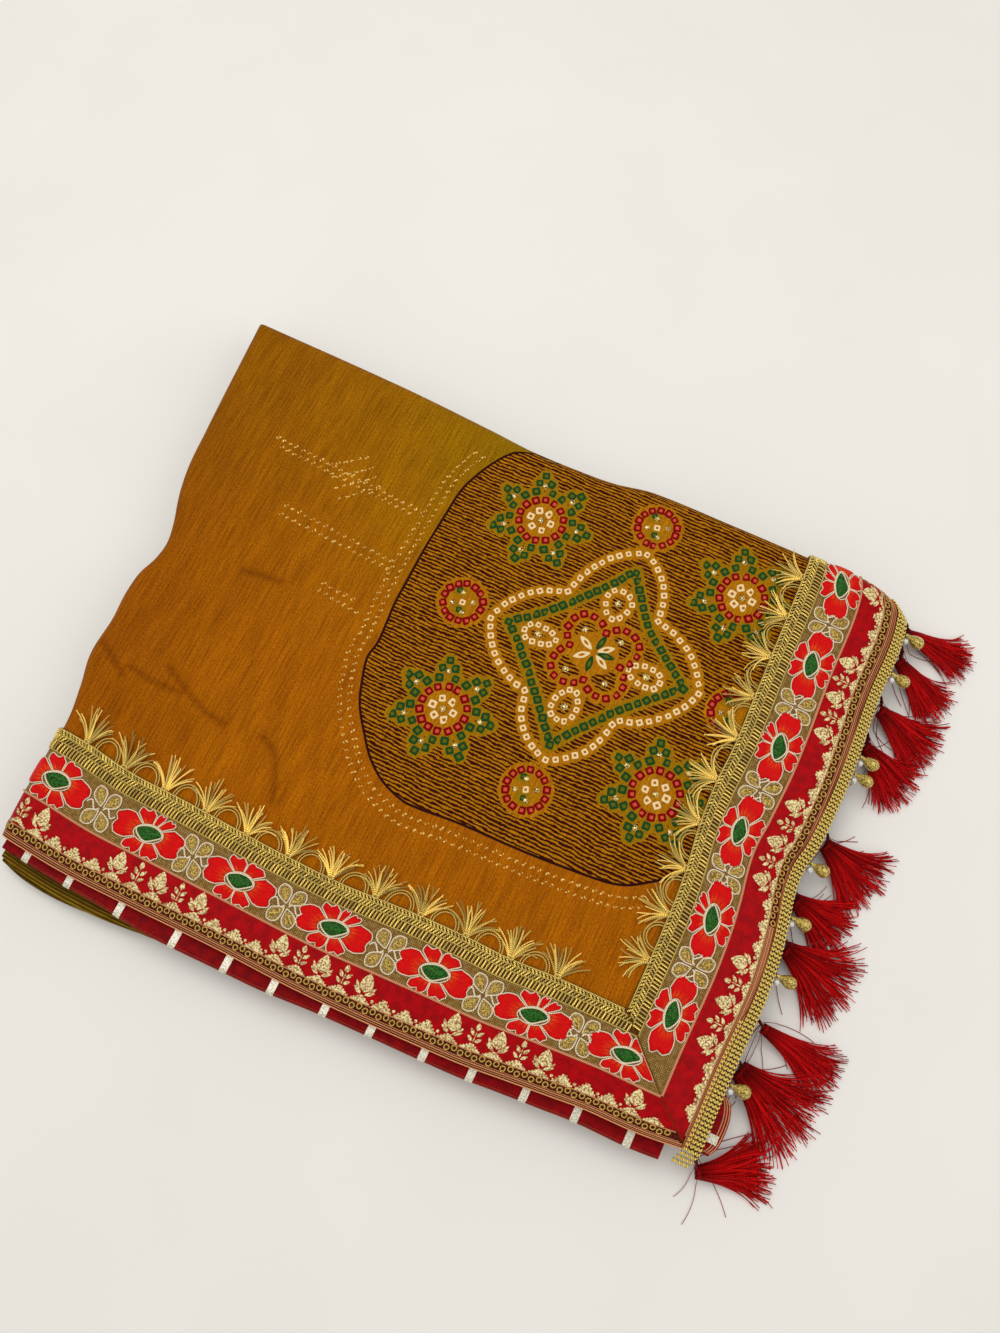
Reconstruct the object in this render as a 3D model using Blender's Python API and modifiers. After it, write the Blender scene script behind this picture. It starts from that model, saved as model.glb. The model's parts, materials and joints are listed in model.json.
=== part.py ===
"""A folded bandhani saree: the top stretch of cloth, its woven and embroidered borders, and the folds below.

Places are worked out in millimetres on the cloth: p runs along the long edge, q runs across it towards the
far fold, and "out" is the height above the cloth's face. MM turns millimetres into Blender's metres.
"""

import math

import bmesh
import bpy
from mathutils import Vector
from mathutils.geometry import delaunay_2d_cdt

MM = 0.001

# Driving dimensions
CLOTH_FACE = 26.0  # height of the top cloth's face above the floor
CLOTH_WALL = 1.2
FOLD_RADIUS = 8.0  # of the top cloth's roll at the left and far folds
FOLD_TURN = 1.9  # how far the top cloth turns round its folds, in radians
EDGE_SLOPE = 26.0  # width over which the cloth sinks towards its open edges
NEAR_SINK = 4.0
RIGHT_SINK = 3.5
SEAM = 0.3  # gap between sewn pieces
LIFT = 0.55  # gap under a piece that lies on the cloth
LAYER_GAP = 0.8  # gap between the top cloth and the folds below it
CREASE_ROOM = 1.6  # how much lower the folds lie away from the edges, under the creases
CLOTH_INSET = 0.5  # how far the cloth's raw edge stops short of the band's

# The borders, as shares of the way from the open edge to the fans' roots
BORDER_DEPTH = 51.5
ZARI_SHARE = 0.40
LACE_SHARE = 0.80
GIMP_SHARE = 0.94
LACE_MIDDLE = (ZARI_SHARE + LACE_SHARE) / 2
SEAM_SHARE = SEAM / 2 / BORDER_DEPTH
ZARI_THICK = 0.9
LACE_THICK = 0.8
MOTIF_RAISE = 0.9
GIMP_THICK = 1.4
FAN_THICK = 0.9
BRAID_WIDTH = 5.2
BRAID_HIGH = 1.7
BRAID_LOW = -1.3
BRAID_GAP = 0.5

# The corner where the two borders meet in a mitre
CORNER_P = 179.0
MITRE_RUN = 48.0

# The object's middle on the floor, which is the part's origin
MIDDLE_X = 20.01
MIDDLE_Y = -4.1

# Guide lines, as rows of (place along, place across)
LEFT_FOLD = (
    (-147, -166), (-118, -166.5), (-99, -167), (-82, -168.5), (-70, -171.5), (-58, -175), (-48, -176),
    (-33, -175.5), (-18, -177), (-5, -176.5), (5, -173.5), (15, -172.5), (26, -175), (41, -180.5),
    (58, -184.5), (77, -186.5), (97, -188.5), (120, -190.5), (149, -193),
)
FAR_FOLD = (
    (-193, 149), (-104, 148), (-50, 145.5), (-27, 144), (0, 144.5), (20, 146), (40, 150), (81, 151),
    (131, 151.5), (158, 151.5), (170, 149), (179, 144),
)
NEAR_EDGE = (
    (-166, -147), (-130, -149), (-90, -148.5), (-46, -147.5), (-10, -147.5), (20, -146.5), (50, -144.8),
    (75, -143), (95, -140.5), (115, -138), (131, -136), (157, -134.5), (179, -131.5),
)
RIGHT_EDGE = (
    (-131.5, 179), (-100, 179), (-85, 179.5), (-60, 180.5), (-39, 179.5), (-24, 177.5), (-10, 175),
    (3, 174.5), (16, 177), (39, 178.5), (62, 178.5), (94, 177), (124, 177.5), (140, 175.5), (149, 171),
)
FAN_ROOT_LONG = (
    (-166, -90), (-149, -91), (-124, -94), (-93, -94.5), (-46, -96), (-10, -96), (4, -95), (28, -93),
    (51, -92), (74, -92), (99, -90), (131, -89),
)
FAN_ROOT_PALLU = (
    (-89, 131), (-47, 131), (-22, 130), (-1, 127.5), (21, 126.5), (43, 127.5), (67, 127), (89, 126.5),
    (114, 126), (149, 125),
)

# Soft hills and hollows of the cloth: (x, y, height, reach along x, reach along y)
SWELLS = (
    (-152, -42, 1.6, 26, 20), (-150, 4, -1.2, 22, 16), (-120, 60, 0.8, 50, 40), (-60, -30, 0.7, 45, 40),
    (40, 60, 0.6, 60, 50), (-120, -78, -0.8, 30, 12), (150, 3, -0.7, 30, 22), (-10, -130, 0.6, 50, 20),
    (90, -120, -0.6, 40, 20), (-110, -135, 0.7, 30, 16),
)
# The largest creases: (x, y at one end, x, y at the other, depth, half width)
CREASES = (
    (-176, -62, -150, -72, 1.3, 7), (-140, -42, -108, -76, 1.1, 8), (-78, -58, -72, -82, 0.8, 7),
    (-112, 22, -88, 24, 0.5, 7),
)


def mix(first, second, share):
    return first + (second - first) * share


def read(table, at):
    """A smooth curve through a guide line's rows, level beyond its ends."""
    if at <= table[0][0]:
        return table[0][1]
    if at >= table[-1][0]:
        return table[-1][1]
    row = next(i for i in range(len(table) - 1) if at <= table[i + 1][0])
    before = table[max(row - 1, 0)]
    start = table[row]
    end = table[row + 1]
    after = table[min(row + 2, len(table) - 1)]
    length = end[0] - start[0]
    slope_in = (end[1] - before[1]) / (end[0] - before[0])
    slope_out = (after[1] - start[1]) / (after[0] - start[0])
    t = (at - start[0]) / length
    value = (2 * t**3 - 3 * t**2 + 1) * start[1] + (3 * t**2 - 2 * t**3) * end[1]
    return value + ((t**3 - 2 * t**2 + t) * slope_in + (t**3 - t**2) * slope_out) * length


def relief_of_cloth(x, y):
    """How far the swells lift the cloth and the creases sink it, away from its level."""
    height = 0.0
    for middle_x, middle_y, rise, reach_x, reach_y in SWELLS:
        far = ((x - middle_x) / reach_x) ** 2 + ((y - middle_y) / reach_y) ** 2
        height += rise * math.exp(-far)
    for start_x, start_y, end_x, end_y, depth, half_width in CREASES:
        run = Vector((end_x - start_x, end_y - start_y))
        to_point = Vector((x - start_x, y - start_y))
        share = min(max(to_point.dot(run) / run.length_squared, 0), 1)
        aside = (to_point - run * share).length / half_width
        height -= depth * math.exp(-aside * aside)
    return height


def skin(p, q):
    """The point of the cloth's outer face at cloth place (p, q), which rolls down past the folds."""
    left = read(LEFT_FOLD, q)
    far = read(FAR_FOLD, p)
    turn_left = max(0.0, (left + FOLD_RADIUS - p) / FOLD_RADIUS)
    turn_far = max(0.0, (q - far + FOLD_RADIUS) / FOLD_RADIUS)
    x = p
    if turn_left:
        x = left + FOLD_RADIUS * (1 - math.sin(turn_left))
    y = q
    if turn_far:
        y = far - FOLD_RADIUS * (1 - math.sin(turn_far))
    roll_left = FOLD_RADIUS * (1 - math.cos(turn_left))
    roll_far = FOLD_RADIUS * (1 - math.cos(turn_far))
    roll = (roll_left**3 + roll_far**3) ** (1 / 3)
    near_share = max(0.0, 1 - (q - read(NEAR_EDGE, p)) / EDGE_SLOPE)
    right_share = max(0.0, 1 - (read(RIGHT_EDGE, q) - p) / EDGE_SLOPE)
    sink = ((NEAR_SINK * near_share**2) ** 3 + (RIGHT_SINK * right_share**2) ** 3) ** (1 / 3)
    return Vector((x, y, CLOTH_FACE + relief_of_cloth(x, y) - roll - sink))


def on_cloth(p, q, out=0.0):
    """The point at height `out` above the cloth's face, along the face's own normal."""
    step = 0.5
    along = skin(p + step, q) - skin(p - step, q)
    across = skin(p, q + step) - skin(p, q - step)
    return skin(p, q) + along.cross(across).normalized() * out


def new_finish(name, colour, roughness, metallic=0.0):
    finish = bpy.data.materials.new(name)
    finish.use_nodes = True
    shader = finish.node_tree.nodes["Principled BSDF"]
    shader.inputs["Base Color"].default_value = (*colour, 1)
    shader.inputs["Roughness"].default_value = roughness
    shader.inputs["Metallic"].default_value = metallic
    return finish


def new_object(name, mesh_data, finish, group):
    made = bpy.data.objects.new(name, mesh_data)
    mesh_data.materials.append(finish)
    group.objects.link(made)
    return made


def finish_solid(name, work, finish, group):
    """Turns a bmesh in millimetres into a named object whose faces point out."""
    bmesh.ops.recalc_face_normals(work, faces=work.faces)
    if work.calc_volume(signed=True) < 0:
        bmesh.ops.reverse_faces(work, faces=work.faces)
    bmesh.ops.scale(work, vec=(MM, MM, MM), verts=work.verts)
    shift = Vector((-MIDDLE_X, -MIDDLE_Y, 0)) * MM
    bmesh.ops.translate(work, vec=shift, verts=work.verts)
    data = bpy.data.meshes.new(name)
    work.to_mesh(data)
    work.free()
    data.shade_smooth()
    data.set_sharp_from_angle(angle=math.radians(40))
    return new_object(name, data, finish, group)


def loft(work, rings):
    """Closed skin through rings that each have the same number of points, capped at both ends."""
    made = [[work.verts.new(point) for point in ring] for ring in rings]
    count = len(made[0])
    for lower, upper in zip(made, made[1:]):
        for i in range(count):
            following = (i + 1) % count
            work.faces.new((lower[i], lower[following], upper[following], upper[i]))
    work.faces.new(made[0][::-1])
    work.faces.new(made[-1])


def wall(name, finish, group, rows, low, high):
    """A closed wall over a grid of cloth places, from `low` to `high` above the cloth's face."""
    work = bmesh.new()
    faces_of_wall = []
    for out in (low, high):
        faces_of_wall.append([[work.verts.new(on_cloth(p, q, out)) for p, q in row] for row in rows])
    lower, upper = faces_of_wall
    last_row = len(rows) - 1
    last_column = len(rows[0]) - 1
    for side in (lower, upper):
        for j in range(last_row):
            for i in range(last_column):
                work.faces.new((side[j][i], side[j][i + 1], side[j + 1][i + 1], side[j + 1][i]))
    for i in range(last_column):
        for j in (0, last_row):
            work.faces.new((lower[j][i], lower[j][i + 1], upper[j][i + 1], upper[j][i]))
    for j in range(last_row):
        for i in (0, last_column):
            work.faces.new((lower[j][i], lower[j + 1][i], upper[j + 1][i], upper[j][i]))
    return finish_solid(name, work, finish, group)


def inside(point, loop):
    """Whether a flat point lies inside a closed loop of flat points."""
    found = False
    for i, (x1, y1) in enumerate(loop):
        x2, y2 = loop[i - 1]
        if (y1 > point[1]) != (y2 > point[1]):
            if point[0] < x1 + (point[1] - y1) * (x2 - x1) / (y2 - y1):
                found = not found
    return found


def cut_sheet(name, finish, group, outline, holes, motifs, guides, low, thick, rise=None):
    """A closed sheet on the cloth, cut to an outline with holes, whose motifs stand up from it.

    `rise` gives the extra height of the sheet above the cloth at a cloth place.
    """
    loops = [outline, *holes, *motifs]
    places = []
    edges = []
    for loop in loops:
        first = len(places)
        places.extend(Vector(point) for point in loop)
        edges.extend((first + i, first + (i + 1) % len(loop)) for i in range(len(loop)))
    places.extend(Vector(point) for point in guides)
    flat, _, faces = delaunay_2d_cdt(places, edges, [], 0, 1e-5)[:3]
    levels = {}
    for face in faces:
        middle = sum((flat[i] for i in face), Vector((0, 0))) / len(face)
        if inside(middle, outline) and not any(inside(middle, hole) for hole in holes):
            levels[tuple(face)] = int(any(inside(middle, motif) for motif in motifs))
    work = bmesh.new()
    made = {}

    def vertex(index, level):
        if (index, level) not in made:
            p, q = flat[index]
            out = low + (rise(p, q) if rise else 0.0)
            if level != "under":
                out += thick + level * MOTIF_RAISE
            made[index, level] = work.verts.new(on_cloth(p, q, out))
        return made[index, level]

    owner = {}
    for face, level in levels.items():
        for a, b in zip(face, face[1:] + face[:1]):
            owner[a, b] = level
    for face, level in levels.items():
        work.faces.new([vertex(i, level) for i in face])
        work.faces.new([vertex(i, "under") for i in reversed(face)])
        for a, b in zip(face, face[1:] + face[:1]):
            beside = owner.get((b, a), "under")
            if beside == "under" or beside < level:
                work.faces.new((vertex(a, level), vertex(a, beside), vertex(b, beside), vertex(b, level)))
    return finish_solid(name, work, finish, group)


def long_place(along, share):
    """Cloth place on the long border: `share` runs from the open edge, 0, to the fans' roots, 1."""
    return along, mix(read(NEAR_EDGE, along), read(FAN_ROOT_LONG, along), share)


def pallu_place(along, share):
    return mix(read(RIGHT_EDGE, along), read(FAN_ROOT_PALLU, along), share), along


def long_line(share, step):
    """Cloth place on the long border at `step`, from 0 round the left fold to 1 at the mitre."""
    start = read(LEFT_FOLD, -120) + FOLD_RADIUS * (1 - FOLD_TURN)
    end = CORNER_P - MITRE_RUN * share - SEAM
    return long_place(mix(start, end, step), share)


def pallu_line(share, step):
    """Cloth place on the end's border at `step`, from 0 at the mitre to 1 round the far fold."""
    start = long_place(CORNER_P - MITRE_RUN * share, share)[1] + SEAM
    end = read(FAR_FOLD, 150) - FOLD_RADIUS * (1 - FOLD_TURN)
    return pallu_place(mix(start, end, step), share)


def even_steps(first, last, count):
    return [mix(first, last, i / (count - 1)) for i in range(count)]


# The steps are closer where the borders roll round a fold
LONG_ROLLED = even_steps(0, 0.05, 6)
LONG_STEPS = LONG_ROLLED + even_steps(0.09, 1, 21)
PALLU_ROLLED = even_steps(0.94, 1, 6)
PALLU_STEPS = even_steps(0, 0.9, 18) + PALLU_ROLLED


def line_rows(line, steps, first_share, last_share, count):
    return [[line(share, step) for step in steps] for share in even_steps(first_share, last_share, count)]


def make_top_cloth(finish, group):
    """The one stretch of cloth that shows, from its open edges round the left and far folds."""
    turns = (FOLD_TURN, 1.5, 1.1, 0.7, 0.35)
    along = even_steps(0, 0.87, 19) + [0.92, 0.96, 1]
    across = [0, 0.03, 0.065, 0.1] + even_steps(0.15, 1, 15)
    rows = []
    for share_q in across + [None] * len(turns):
        row = []
        turn_q = 0.0
        if share_q is None:
            turn_q = sorted(turns)[len(rows) - len(across)]
            share_q = 1
        for share_p in [None] * len(turns) + along:
            turn_p = 0.0
            if share_p is None:
                turn_p = turns[len(row)]
                share_p = 0
            p = mix(-160, CORNER_P, share_p)
            # Each guide line is read at a place that the other one settles, so they are read in turn
            for _ in range(4):
                q = mix(read(NEAR_EDGE, p), read(FAR_FOLD, p) - FOLD_RADIUS, share_q) + turn_q * FOLD_RADIUS
                p = mix(read(LEFT_FOLD, q) + FOLD_RADIUS, read(RIGHT_EDGE, q) - CLOTH_INSET, share_p)
            row.append((p - turn_p * FOLD_RADIUS, q))
        rows.append(row)
    return wall("top_cloth", finish, group, rows, -CLOTH_WALL, 0.0)


# The folds' edges from the top down: (height, then how far in from the top outline at the near, right, far
# and left side, then how much of the olive fold shows at the near side)
FOLD_EDGES = (
    (20.2, 0.6, 0.6, 2.8, 3.0, 0.0), (19.4, 9.0, 9.0, 2.8, 3.0, 0.0), (17.2, 9.0, 9.0, 2.8, 3.0, 0.0),
    (16.4, 2.0, 1.5, 2.8, 3.0, 0.0), (14.8, 1.0, 0.8, 2.8, 3.0, 0.3), (13.1, 3.0, 3.0, 4.0, 4.0, 0.3),
    (11.2, 0.5, 1.2, 2.2, 1.6, 0.9), (9.1, 2.4, 3.2, 3.8, 3.6, 0.8), (7.0, 0.6, 1.0, 1.4, 1.0, 1.0),
    (4.9, 3.0, 3.4, 3.6, 3.2, 0.8), (2.8, 1.4, 1.6, 1.8, 1.6, 0.8), (1.0, 2.2, 2.4, 2.6, 2.4, 0.6),
    (0.0, 5.0, 5.0, 5.0, 5.0, 0.5),
)
# How far the olive fold reaches past the near edge, by place along it
OLIVE_FOLD = ((-166, 11), (-150, 13.5), (-120, 13), (-90, 11.5), (-72, 9), (-54, 3), (-40, 0))
FOLD_WAVE = 0.7
SIDE_STEPS = (19, 14, 16, 15)  # points along the near, right, far and left side


def fold_loop(height, near, right, far, left, olive):
    """Level loop round the folds at one height."""
    loop = []
    corner_left = read(LEFT_FOLD, -147) + left
    for p in even_steps(corner_left, CORNER_P - right, SIDE_STEPS[0] + 1)[:-1]:
        wave = FOLD_WAVE * math.sin(p / 17 + height)
        loop.append((p, read(NEAR_EDGE, p) + near + wave - olive * read(OLIVE_FOLD, p)))
    for q in even_steps(-131.5 + near, 144 - far, SIDE_STEPS[1] + 1)[:-1]:
        loop.append((read(RIGHT_EDGE, q) - right - FOLD_WAVE * (1 + math.sin(q / 15 + height)), q))
    for p in even_steps(read(RIGHT_EDGE, 144) - right, -193 + left, SIDE_STEPS[2] + 1)[:-1]:
        loop.append((p, read(FAR_FOLD, p) - far))
    for q in even_steps(149 - far, -147 + near, SIDE_STEPS[3] + 1)[:-1]:
        loop.append((read(LEFT_FOLD, q) + left, q))
    return [Vector((x, y, height)) for x, y in loop]


def crown_loop(turn, inset, lower=0.0):
    """Loop under the top cloth, `turn` round its folds and `inset` from its open edges."""
    loop = []
    below = -CLOTH_WALL - LAYER_GAP - lower
    reach = FOLD_RADIUS * (turn - 1)
    corner_left = read(LEFT_FOLD, -147) - reach
    for p in even_steps(corner_left, CORNER_P - inset, SIDE_STEPS[0] + 1)[:-1]:
        loop.append((p, read(NEAR_EDGE, p) + inset))
    for q in even_steps(-131.5 + inset, 144 + reach, SIDE_STEPS[1] + 1)[:-1]:
        loop.append((read(RIGHT_EDGE, q) - inset, q))
    for p in even_steps(read(RIGHT_EDGE, 144) - inset, -193 - reach, SIDE_STEPS[2] + 1)[:-1]:
        loop.append((p, read(FAR_FOLD, p) + reach))
    for q in even_steps(149 + reach, -147 + inset, SIDE_STEPS[3] + 1)[:-1]:
        loop.append((read(LEFT_FOLD, q) - reach, q))
    return [on_cloth(p, q, below) for p, q in loop]


def make_hidden_folds(finish, group):
    """All the layers below the top cloth, as one rounded solid with their edges showing."""
    work = bmesh.new()
    rings = [fold_loop(*edge) for edge in reversed(FOLD_EDGES)]
    rings += [crown_loop(1.35, 1.2), crown_loop(0.75, 6), crown_loop(0.1, 14)]
    rings += [crown_loop(-2.5, 34, CREASE_ROOM), crown_loop(-8.0, 80, CREASE_ROOM)]
    loft(work, rings)
    top = max(work.faces, key=lambda face: face.calc_center_median().z if len(face.verts) > 4 else -1)
    middle = bmesh.ops.poke(work, faces=[top])["verts"][0]
    middle.co.z = skin(0, 20).z - CLOTH_WALL - LAYER_GAP - CREASE_ROOM
    return finish_solid("hidden_folds", work, finish, group)


def make_bands(line, steps, side, finishes, group):
    """The woven band and the ladder gimp of one border, each a plain wall on the cloth."""
    seam = SEAM_SHARE
    rows = line_rows(line, steps, seam, ZARI_SHARE - seam, 4)
    wall(f"zari_band_{side}", finishes["zari"], group, rows, LIFT, LIFT + ZARI_THICK)
    rows = line_rows(line, steps, LACE_SHARE + seam, GIMP_SHARE - seam, 2)
    wall(f"gimp_band_{side}", finishes["gimp"], group, rows, LIFT, LIFT + GIMP_THICK)


# Flower and leaf places along each border, from the photograph, in millimetres
FLOWERS_LONG = (-153, -101, -52, -3, 47, 95, 139)
LEAVES_LONG = (-127, -77, -27, 23, 71, 117)
FLOWERS_PALLU = (-83, -37, 6, 51, 96, 141)
LEAVES_PALLU = (-60, -15, 28, 73, 119)
FLOWER_HALF_LENGTH = 17.5
FLOWER_HALF_WIDTH = 8.8
LEAF_REACH = 7.6
LEAF_HALF_WIDTH = 2.2
PETALS = 7
MITRE_MARGIN = 1.6


def flower_outline():
    """Scalloped oval of seven petals, as (along, across) from the flower's middle."""
    loop = []
    for i in range(PETALS * 2):
        angle = math.pi * i / PETALS
        reach = 1.0 if i % 2 == 0 else 0.72
        loop.append((FLOWER_HALF_LENGTH * reach * math.cos(angle), FLOWER_HALF_WIDTH * reach * math.sin(angle)))
    return loop


def halved(loop):
    """The same loop with a point added in the middle of each side."""
    points = []
    for (u1, v1), (u2, v2) in zip(loop, loop[1:] + loop[:1]):
        points += [(u1, v1), ((u1 + u2) / 2, (v1 + v2) / 2)]
    return points


def leaf_outline(angle):
    """One pointed leaf of a four-leaf cluster, pointing along `angle` from the cluster's middle."""
    ahead = Vector((math.cos(angle), math.sin(angle)))
    aside = Vector((-ahead.y, ahead.x))
    stations = ((1.6, 0), (4.6, -1), (LEAF_REACH, 0), (4.6, 1))
    return [tuple(ahead * reach + aside * LEAF_HALF_WIDTH * side) for reach, side in stations]


def make_flower_lace(place, line, steps, side, flowers, leaves, finish, group):
    """A strip of net whose embroidered flowers and leaf clusters stand up from it."""
    low_share = ZARI_SHARE + SEAM_SHARE
    high_share = LACE_SHARE - SEAM_SHARE
    outline = [line(low_share, step) for step in steps]
    outline += [line(high_share, step) for step in reversed(steps)]
    motifs = []

    def add_motif(middle, loop):
        """Lays one motif on the strip, cut off just short of the mitre."""
        points = []
        for u, v in loop:
            share = LACE_MIDDLE + v / BORDER_DEPTH
            along = middle + u
            mitre = CORNER_P - MITRE_RUN * share
            if side == "long":
                along = min(along, mitre - MITRE_MARGIN)
            else:
                along = max(along, long_place(mitre, share)[1] + MITRE_MARGIN)
            points.append(place(along, share))
        motifs.append(points)

    rolled_flower = FLOWERS_LONG[0] if side == "long" else FLOWERS_PALLU[-1]
    for middle in flowers:
        # The flower that rolls round a fold takes closer points
        add_motif(middle, halved(flower_outline()) if middle == rolled_flower else flower_outline())
    for middle in leaves:
        for quarter in range(4):
            add_motif(middle, leaf_outline(math.pi * (0.25 + 0.5 * quarter)))
    rolled = LONG_ROLLED if side == "long" else PALLU_ROLLED
    guides = [line(share, step) for step in rolled for share in even_steps(low_share, high_share, 6)[1:-1]]
    cut_sheet(f"flower_lace_{side}", finish, group, outline, [], motifs, guides, LIFT, LACE_THICK)


ARCH_HALF_WIDTH = 6.0
ARCH_HEIGHT = 6.6
ARCH_CORD = 1.3
ARCH_SIDES = 6
FAN_REACH = 13.0
FAN_SPREAD = 0.85  # half angle, in radians
FAN_LOCKS = 5
LOCK_WIDTH = 1.3
LOCK_ROOT = 3.4  # how far from the strip the locks part
FOOT_HALF_WIDTH = 2.2
FAN_RISE = 2.6  # how far a fan's tips stand off the cloth
FAN_PITCH = 22.5
# (place of the first fan along the border, number of fans)
FANS_LONG = (-150, 12)
FANS_PALLU = (-66, 9)


def arch_profile(half_width, height):
    """Half oval from right foot to left foot."""
    angles = even_steps(0, math.pi, ARCH_SIDES + 1)
    return [(half_width * math.cos(angle), height * math.sin(angle)) for angle in angles]


def fan_profile():
    """Outline of one fan's locks, from its right foot to its left, as (along, inward)."""
    loop = [(FOOT_HALF_WIDTH, 0)]
    angles = even_steps(-FAN_SPREAD, FAN_SPREAD, FAN_LOCKS)
    for i, angle in enumerate(angles):
        reach = FAN_REACH * (1 - 0.12 * abs(angle))
        ahead = Vector((-math.sin(angle), math.cos(angle)))
        aside = Vector((ahead.y, -ahead.x)) * LOCK_WIDTH / 2
        loop.append(tuple(ahead * reach + aside))
        loop.append(tuple(ahead * reach - aside))
        if i < FAN_LOCKS - 1:
            between = (angle + angles[i + 1]) / 2
            loop.append((-LOCK_ROOT * math.sin(between), LOCK_ROOT * math.cos(between)))
    loop.append((-FOOT_HALF_WIDTH, 0))
    return loop


def make_gimp_fans(place, side, fans, finish, group):
    """The gimp's inner edge: a narrow strip with loops cut through and fans of thread."""
    first, count = fans
    strip_low = GIMP_SHARE + SEAM_SHARE
    strip_high = 1.0
    inner = []
    holes = []
    for number in range(count):
        fan_at = first + number * FAN_PITCH
        inner.append([(fan_at + u, strip_high, v) for u, v in fan_profile()])
        if number < count - 1:
            arch_at = fan_at + FAN_PITCH / 2
            inner.append([(arch_at + u, strip_high, v) for u, v in arch_profile(ARCH_HALF_WIDTH, ARCH_HEIGHT)])
            hole = arch_profile(ARCH_HALF_WIDTH - ARCH_CORD, ARCH_HEIGHT - ARCH_CORD)
            holes.append([(arch_at + u, strip_high, v + 0.1) for u, v in hole])
    # The profiles run from right to left, so the inner edge is walked from the last one back
    walked = [point for profile in reversed(inner) for point in profile]

    def settle(point):
        along, share, inward = point
        return place(along, share + inward / BORDER_DEPTH)

    ends = (first - 2 * LOCK_WIDTH, first + (count - 1) * FAN_PITCH + 2 * LOCK_WIDTH)
    outer = [place(along, strip_low) for along in even_steps(*ends, 2 * count)]
    outline = outer + [place(ends[1], strip_high)] + [settle(point) for point in walked]
    outline.append(place(ends[0], strip_high))

    def rise(p, q):
        root = read(FAN_ROOT_LONG, p) if side == "long" else read(FAN_ROOT_PALLU, q)
        inward = q - root if side == "long" else root - p
        return FAN_RISE * min(max(inward / FAN_REACH, 0), 1) ** 1.5

    hole_loops = [[settle(point) for point in hole] for hole in holes]
    name = f"gimp_fans_{side}"
    cut_sheet(name, finish, group, outline, hole_loops, [], [], LIFT, FAN_THICK, rise)


def make_braid(finish, group):
    """The plaited braid, laid along the end's raw edge and round both of its corners."""
    rings = []
    half = BRAID_WIDTH / 2
    steps = even_steps(0.0, 0.9, 27) + even_steps(0.92, 0.98, 6)
    for step in steps:
        p, q = pallu_line(0.0, step)
        ring = []
        for i in range(8):
            angle = math.pi * (0.125 + 0.25 * i)
            across = half * min(max(1.25 * math.cos(angle), -1), 1)
            out = mix(BRAID_LOW, BRAID_HIGH, 0.5 + 0.5 * min(max(1.25 * math.sin(angle), -1), 1))
            ring.append(on_cloth(p + BRAID_GAP + half + across, q, out))
        rings.append(ring)
    work = bmesh.new()
    loft(work, rings)
    return finish_solid("pallu_braid", work, finish, group)


PIPING_HEIGHT = 18.3  # middle of the next layer's edge
PIPING_THICK = 1.2
PIPING_TUCK = 7.5  # how far the piping runs in under the top layer
PIPING_TAPER = 16.0  # over which it comes out from under the left fold
PIPING_OUT = ((-164, 5), (-149, 5), (-110, 6), (-80, 8.5), (-30, 8), (10, 5.5), (80, 6), (130, 7), (176, 8))


def make_edge_piping(finish, group):
    """The near edge of the next layer: a flat red strip that shows past the top layer."""
    rings = []
    start = read(LEFT_FOLD, -147) + 3
    for p in even_steps(start, 170, 22):
        outer = read(NEAR_EDGE, p) - read(PIPING_OUT, p)
        tuck = PIPING_TUCK * min(1, (p - start) / PIPING_TAPER)
        inner = read(NEAR_EDGE, p) - 0.6 + tuck
        half = PIPING_THICK / 2
        section = ((inner, -half), (inner, half), (outer + 0.7, half), (outer, 0), (outer + 0.7, -half))
        rings.append([Vector((p, y, PIPING_HEIGHT + z)) for y, z in section])
    work = bmesh.new()
    loft(work, rings)
    return finish_solid("edge_piping_long", work, finish, group)


def make_under_border_end(finish, group):
    """The end of the next layer's border, which shows past the braid near the corner."""
    rings = []
    for q, out in ((-130, 10), (-126, 12.5), (-118, 13.5), (-111, 13), (-106, 11), (-103, 7.5)):
        inner = read(RIGHT_EDGE, q) - PIPING_TUCK
        outer = read(RIGHT_EDGE, q) + out
        half = PIPING_THICK / 2
        section = ((inner, -half), (inner, half), (outer - 0.7, half), (outer, 0), (outer - 0.7, -half))
        rings.append([Vector((x, q, PIPING_HEIGHT + z)) for x, z in section])
    work = bmesh.new()
    loft(work, rings)
    return finish_solid("under_border_end", work, finish, group)


# Tassels from the far end to the corner: (root y, how far the root is in from the braid's outer side, tip x,
# tip y, half spread of the skirt in radians, how far the head stands off the root)
TASSELS = (
    (140, 0, 224, 142, 0.30, 3.5), (127, 0, 220, 110, 0.34, 4), (98, 0, 224, 86, 0.36, 5),
    (78, 0, 219, 62, 0.34, 4), (24, 0, 222, 10, 0.42, 4), (-8, 0, 214, -12, 0.36, 3.5),
    (-30, 0, 227, -35, 0.38, 4), (-66, 0, 232, -73, 0.18, 6), (-88, 0, 232, -104, 0.40, 4),
    (-132.5, 2.5, 222, -130, 0.42, 6),
)
TASSEL_STRANDS = 8
TASSEL_HEAD = 3.0
STRAND_WIDTH = 1.9
FLOOR_CLEAR = 0.5
NECK_RADIUS = 0.9
HEAD_HEIGHT = 9.5


def braid_side(q, radius):
    """Where a round thing of this radius hangs beside the braid's outer side."""
    beside = on_cloth(read(RIGHT_EDGE, q) + BRAID_GAP + BRAID_WIDTH, q, (BRAID_LOW + BRAID_HIGH) / 2)
    return beside + Vector((radius + SEAM + 0.1, 0, 0))


def round_section(middle, ahead, radius, sides, turn=0.0):
    """Ring of points round `middle`, square to `ahead`."""
    aside = ahead.cross(Vector((0, 0, 1))).normalized()
    upward = aside.cross(ahead).normalized()
    ring = []
    for i in range(sides):
        angle = turn + math.tau * i / sides
        ring.append(middle + (aside * math.cos(angle) + upward * math.sin(angle)) * radius)
    return ring


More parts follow.
